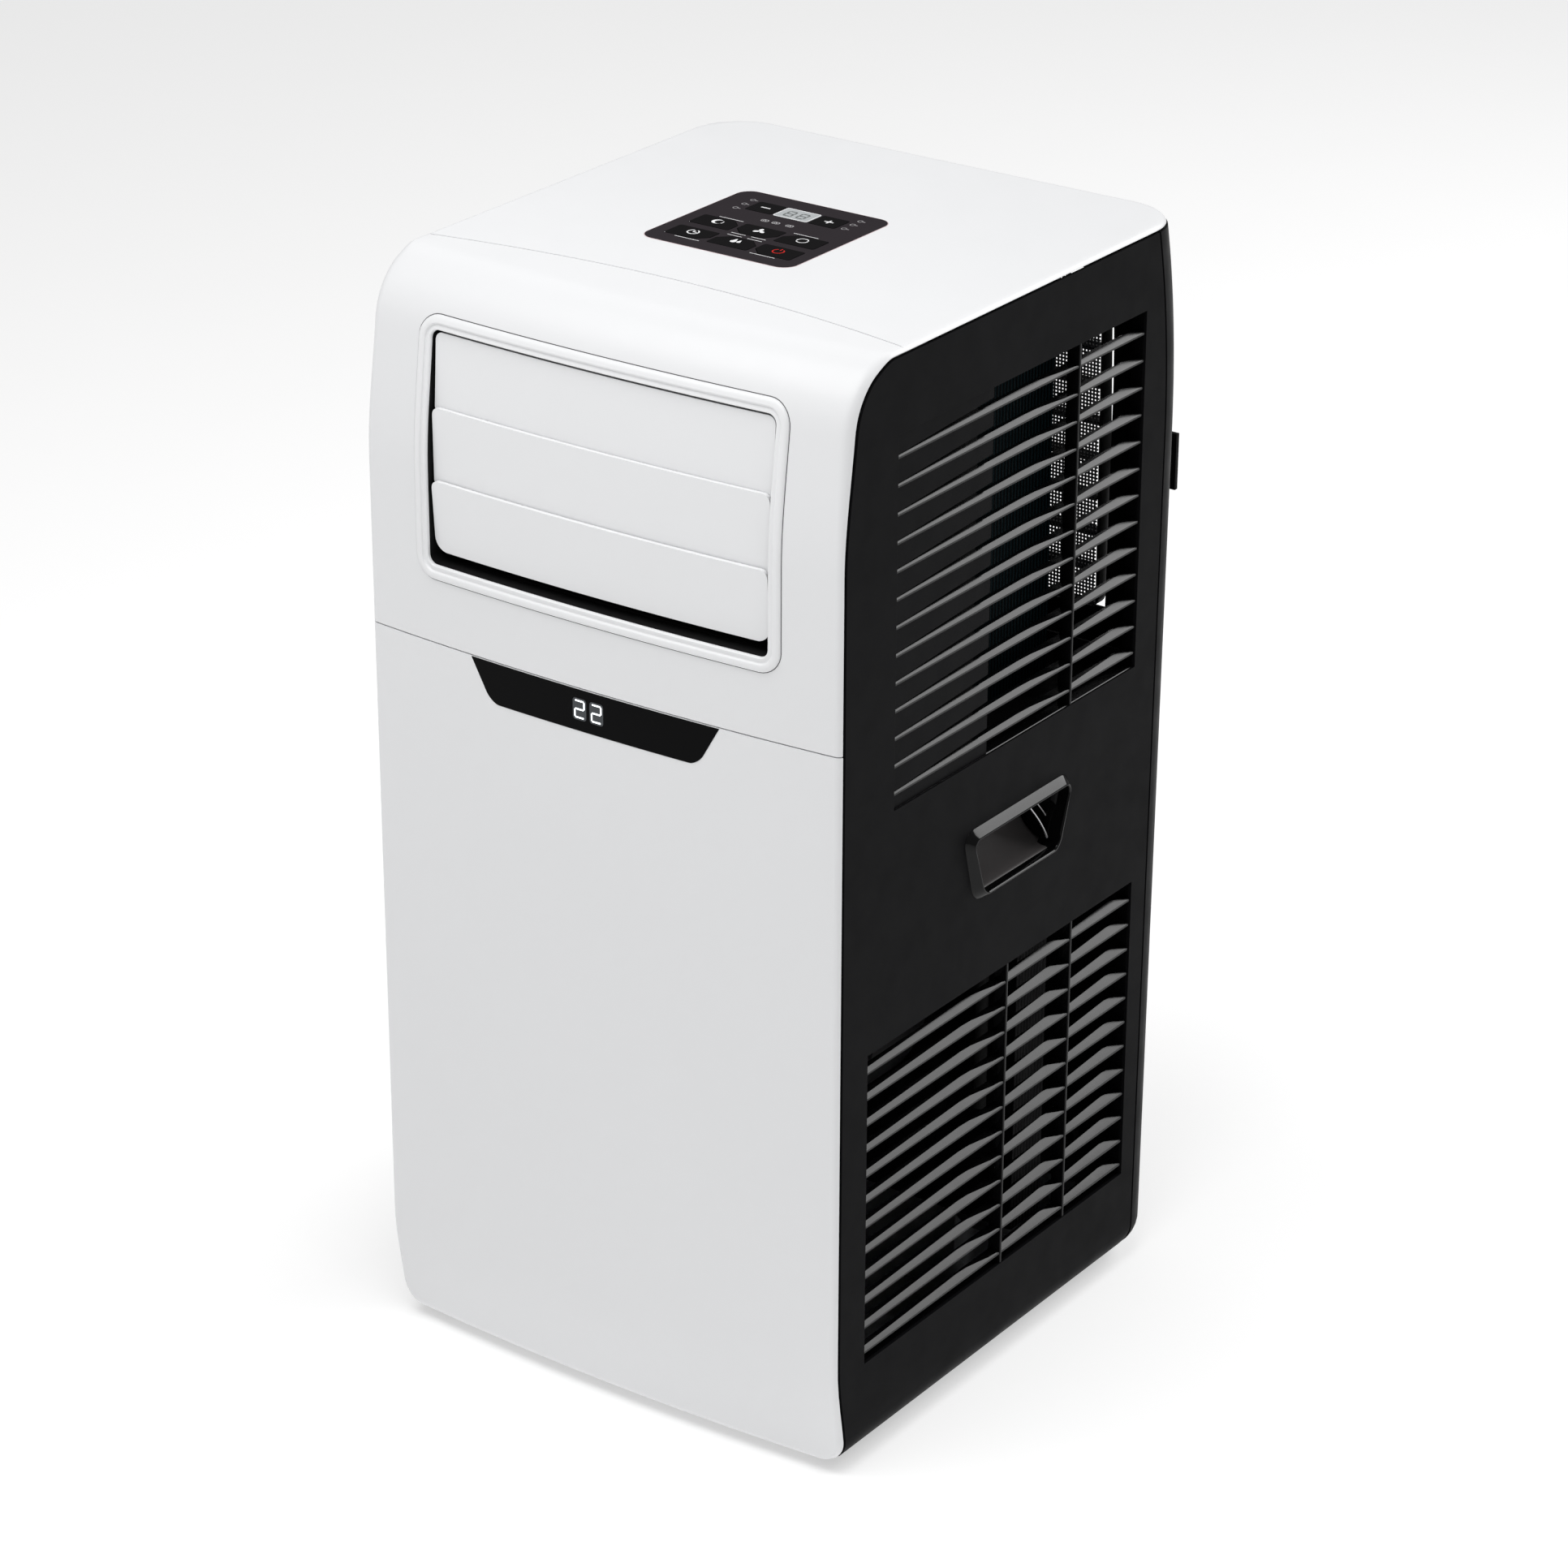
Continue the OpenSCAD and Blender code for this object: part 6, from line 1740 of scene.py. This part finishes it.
# ---------------------------------------------------------------- carried-over nodes
@dataclass
class CarriedParts:
    """The CAD nodes whose shapes are right as they are, and what each is made of."""

    finishes: dict[str, Finish] = field(default_factory=lambda: {
        "outlet_duct": Finish.DARK, **{f"vane_{place}": Finish.DARK for place in range(1, 5)},
        "swing_motor": Finish.ZINC, "display_board": Finish.BOARD,
        "control_board": Finish.BOARD, "base_pan": Finish.PAN, "deck": Finish.TRAY,
        "exhaust_collar": Finish.DARK, "cord_hooks": Finish.PANEL, "cord_gland": Finish.DARK,
        "drain_plug": Finish.RUBBER, "filter_frame": Finish.DARK, "filter_mesh": Finish.NET,
        "cover_screws": Finish.PAINT, "compressor": Finish.PAINT, "compressor_feet": Finish.RUBBER,
        "condenser": Finish.WARM_FINS, "evaporator": Finish.FINS, "blower_wheel": Finish.DARK,
        "blower_motor": Finish.ZINC, "blower_housing": Finish.TRAY, "fan_wheel": Finish.DARK,
        "fan_housing": Finish.TRAY, "fan_motor": Finish.ZINC, "pipework": Finish.FOAM,
        "electrics_box": Finish.BLANK,
        **{f"caster_fork_{place}": Finish.ZINC for place in ("fl", "fr", "rl", "rr")},
        **{f"caster_wheel_{place}": Finish.TREAD for place in ("fl", "fr", "rl", "rr")}})

    def dress(self, nodes: dict[str, bpy.types.Object]) -> None:
        """Gives each carried-over node its finish.

        Args:
            nodes: The frame's nodes by name.
        """
        for name, finish in self.finishes.items():
            node = nodes[name]
            node.data.materials.clear()
            node.data.materials.append(finish.get())
            log.info("%s: %s", name, finish.value.name)


# ---------------------------------------------------------------- studio
@dataclass(frozen=True)
class Lamp:
    """A soft rectangular lamp: its place and the point it faces in metres, its size and its power in watts."""

    name: str
    at: tuple[float, float, float]
    aim: tuple[float, float, float]
    size: tuple[float, float]
    power: float

    def build(self) -> None:
        """Hangs the lamp and turns it to face its point."""
        data = bpy.data.lights.new(self.name, "AREA")
        data.shape = "RECTANGLE"
        data.size, data.size_y = self.size
        data.energy = self.power
        lamp = bpy.data.objects.new(self.name, data)
        lamp.location = self.at
        lamp.rotation_euler = (Vector(self.aim) - Vector(self.at)).to_track_quat("-Z", "Y").to_euler()
        bpy.context.scene.collection.objects.link(lamp)


@dataclass
class Studio:
    """A plain pale floor, a white surround, soft lamps and the camera."""

    camera_at: tuple[float, float, float] = (1.61670, -2.26683, 1.62181)
    azimuth: float = 35.57
    elevation: float = 24.55
    roll: float = 0.19
    lens: float = 112.77
    floor_half: float = 9.0
    floor_z: float = -0.3
    floor_lines: int = 9
    sky: float = 0.33
    lamps: tuple[Lamp, ...] = (
        Lamp("lamp_above", (-0.1, -0.75, 2.0), (0.0, 0.0, 0.6), (1.8, 1.2), 22.0),
        Lamp("lamp_front", (-0.9, -2.4, 1.9), (0.0, 0.0, 0.6), (1.4, 1.4), 1.0),
        Lamp("lamp_behind", (1.14, 2.24, 2.15), (0.17, 0.0, 0.4), (1.9, 1.2), 45.0))

    def floor(self) -> None:
        """A large pale floor, finely mottled."""
        half = self.floor_half / MM
        side = np.linspace(-half, half, self.floor_lines)
        across, ahead = np.meshgrid(side, side)
        grid = np.stack([across, ahead, np.full_like(across, self.floor_z)], -1)
        data = Shape().patch(grid, (0, 0, -1000)).mesh("studio_floor", False)
        piece = bpy.data.objects.new("studio_floor", data)
        bpy.context.scene.collection.objects.link(piece)
        pale = Moulded("studio_floor", (0.70, 0.70, 0.70), 0.8, 0.05, tone=0.004, glow=0.7)
        piece.data.materials.append(pale.material())

    def surround(self) -> None:
        """An even white surround."""
        world = bpy.data.worlds.new("studio_white")
        world.use_nodes = True
        sky = world.node_tree.nodes["Background"]
        sky.inputs[0].default_value = (1.0, 1.0, 1.0, 1.0)
        sky.inputs[1].default_value = self.sky
        bpy.context.scene.world = world

    def camera(self) -> None:
        """The camera, turned about its own axis by the roll."""
        a, e, r = (math.radians(v) for v in (self.azimuth, self.elevation, self.roll))
        back = Vector((math.sin(a) * math.cos(e), -math.cos(a) * math.cos(e), math.sin(e)))
        right = Vector((math.cos(a), math.sin(a), 0.0))
        up = back.cross(right)
        level = right * math.cos(r) + up * math.sin(r)
        tall = up * math.cos(r) - right * math.sin(r)
        data = bpy.data.cameras.new("camera")
        data.lens = self.lens
        data.sensor_width = 36.0
        data.clip_end = 60.0
        camera = bpy.data.objects.new("camera", data)
        turn = Matrix((level, tall, back)).transposed().to_4x4()
        camera.matrix_world = Matrix.Translation(self.camera_at) @ turn
        bpy.context.scene.collection.objects.link(camera)
        bpy.context.scene.camera = camera

    def build(self) -> None:
        """Builds the studio."""
        self.camera()
        self.floor()
        self.surround()
        for lamp in self.lamps:
            lamp.build()
        bpy.context.scene.view_settings.view_transform = "Standard"
        bpy.context.scene.view_settings.look = "None"


def main() -> None:
    """Builds the machine's pieces in order, and the studio round them."""
    logging.basicConfig(level=logging.INFO, format="%(message)s")
    Studio().build()
    form = CabinetForm()
    WhiteShell(form).build()
    RearCover(form).build()
    upper = Opening(fore=-138.108, aft=123.807, low=430.081, high=661.228, mullions=(51.235,), first=13.45,
                    chamfers=((1.7, 3.9), (2.2, 5.2)), sill=0.9)
    lower = Opening(fore=-162.055, aft=129.313, low=71.2, high=280.905, mullions=(-11.982, 59.898), first=11.9,
                    chamfers=((2.6, 5.4), (3.4, 6.2), (3.6, 6.4)))
    for side, name in ((1, "right"), (-1, "left")):
        SidePanel(form, upper, lower, Handle(form)).build(side, name)
    Outlet(form).build()
    Display(form).build()
    Keypad(form).build()
    CarriedParts().dress(frame["nodes"])
    log.info("the machine is built")


if __name__ == "__main__":
    main()
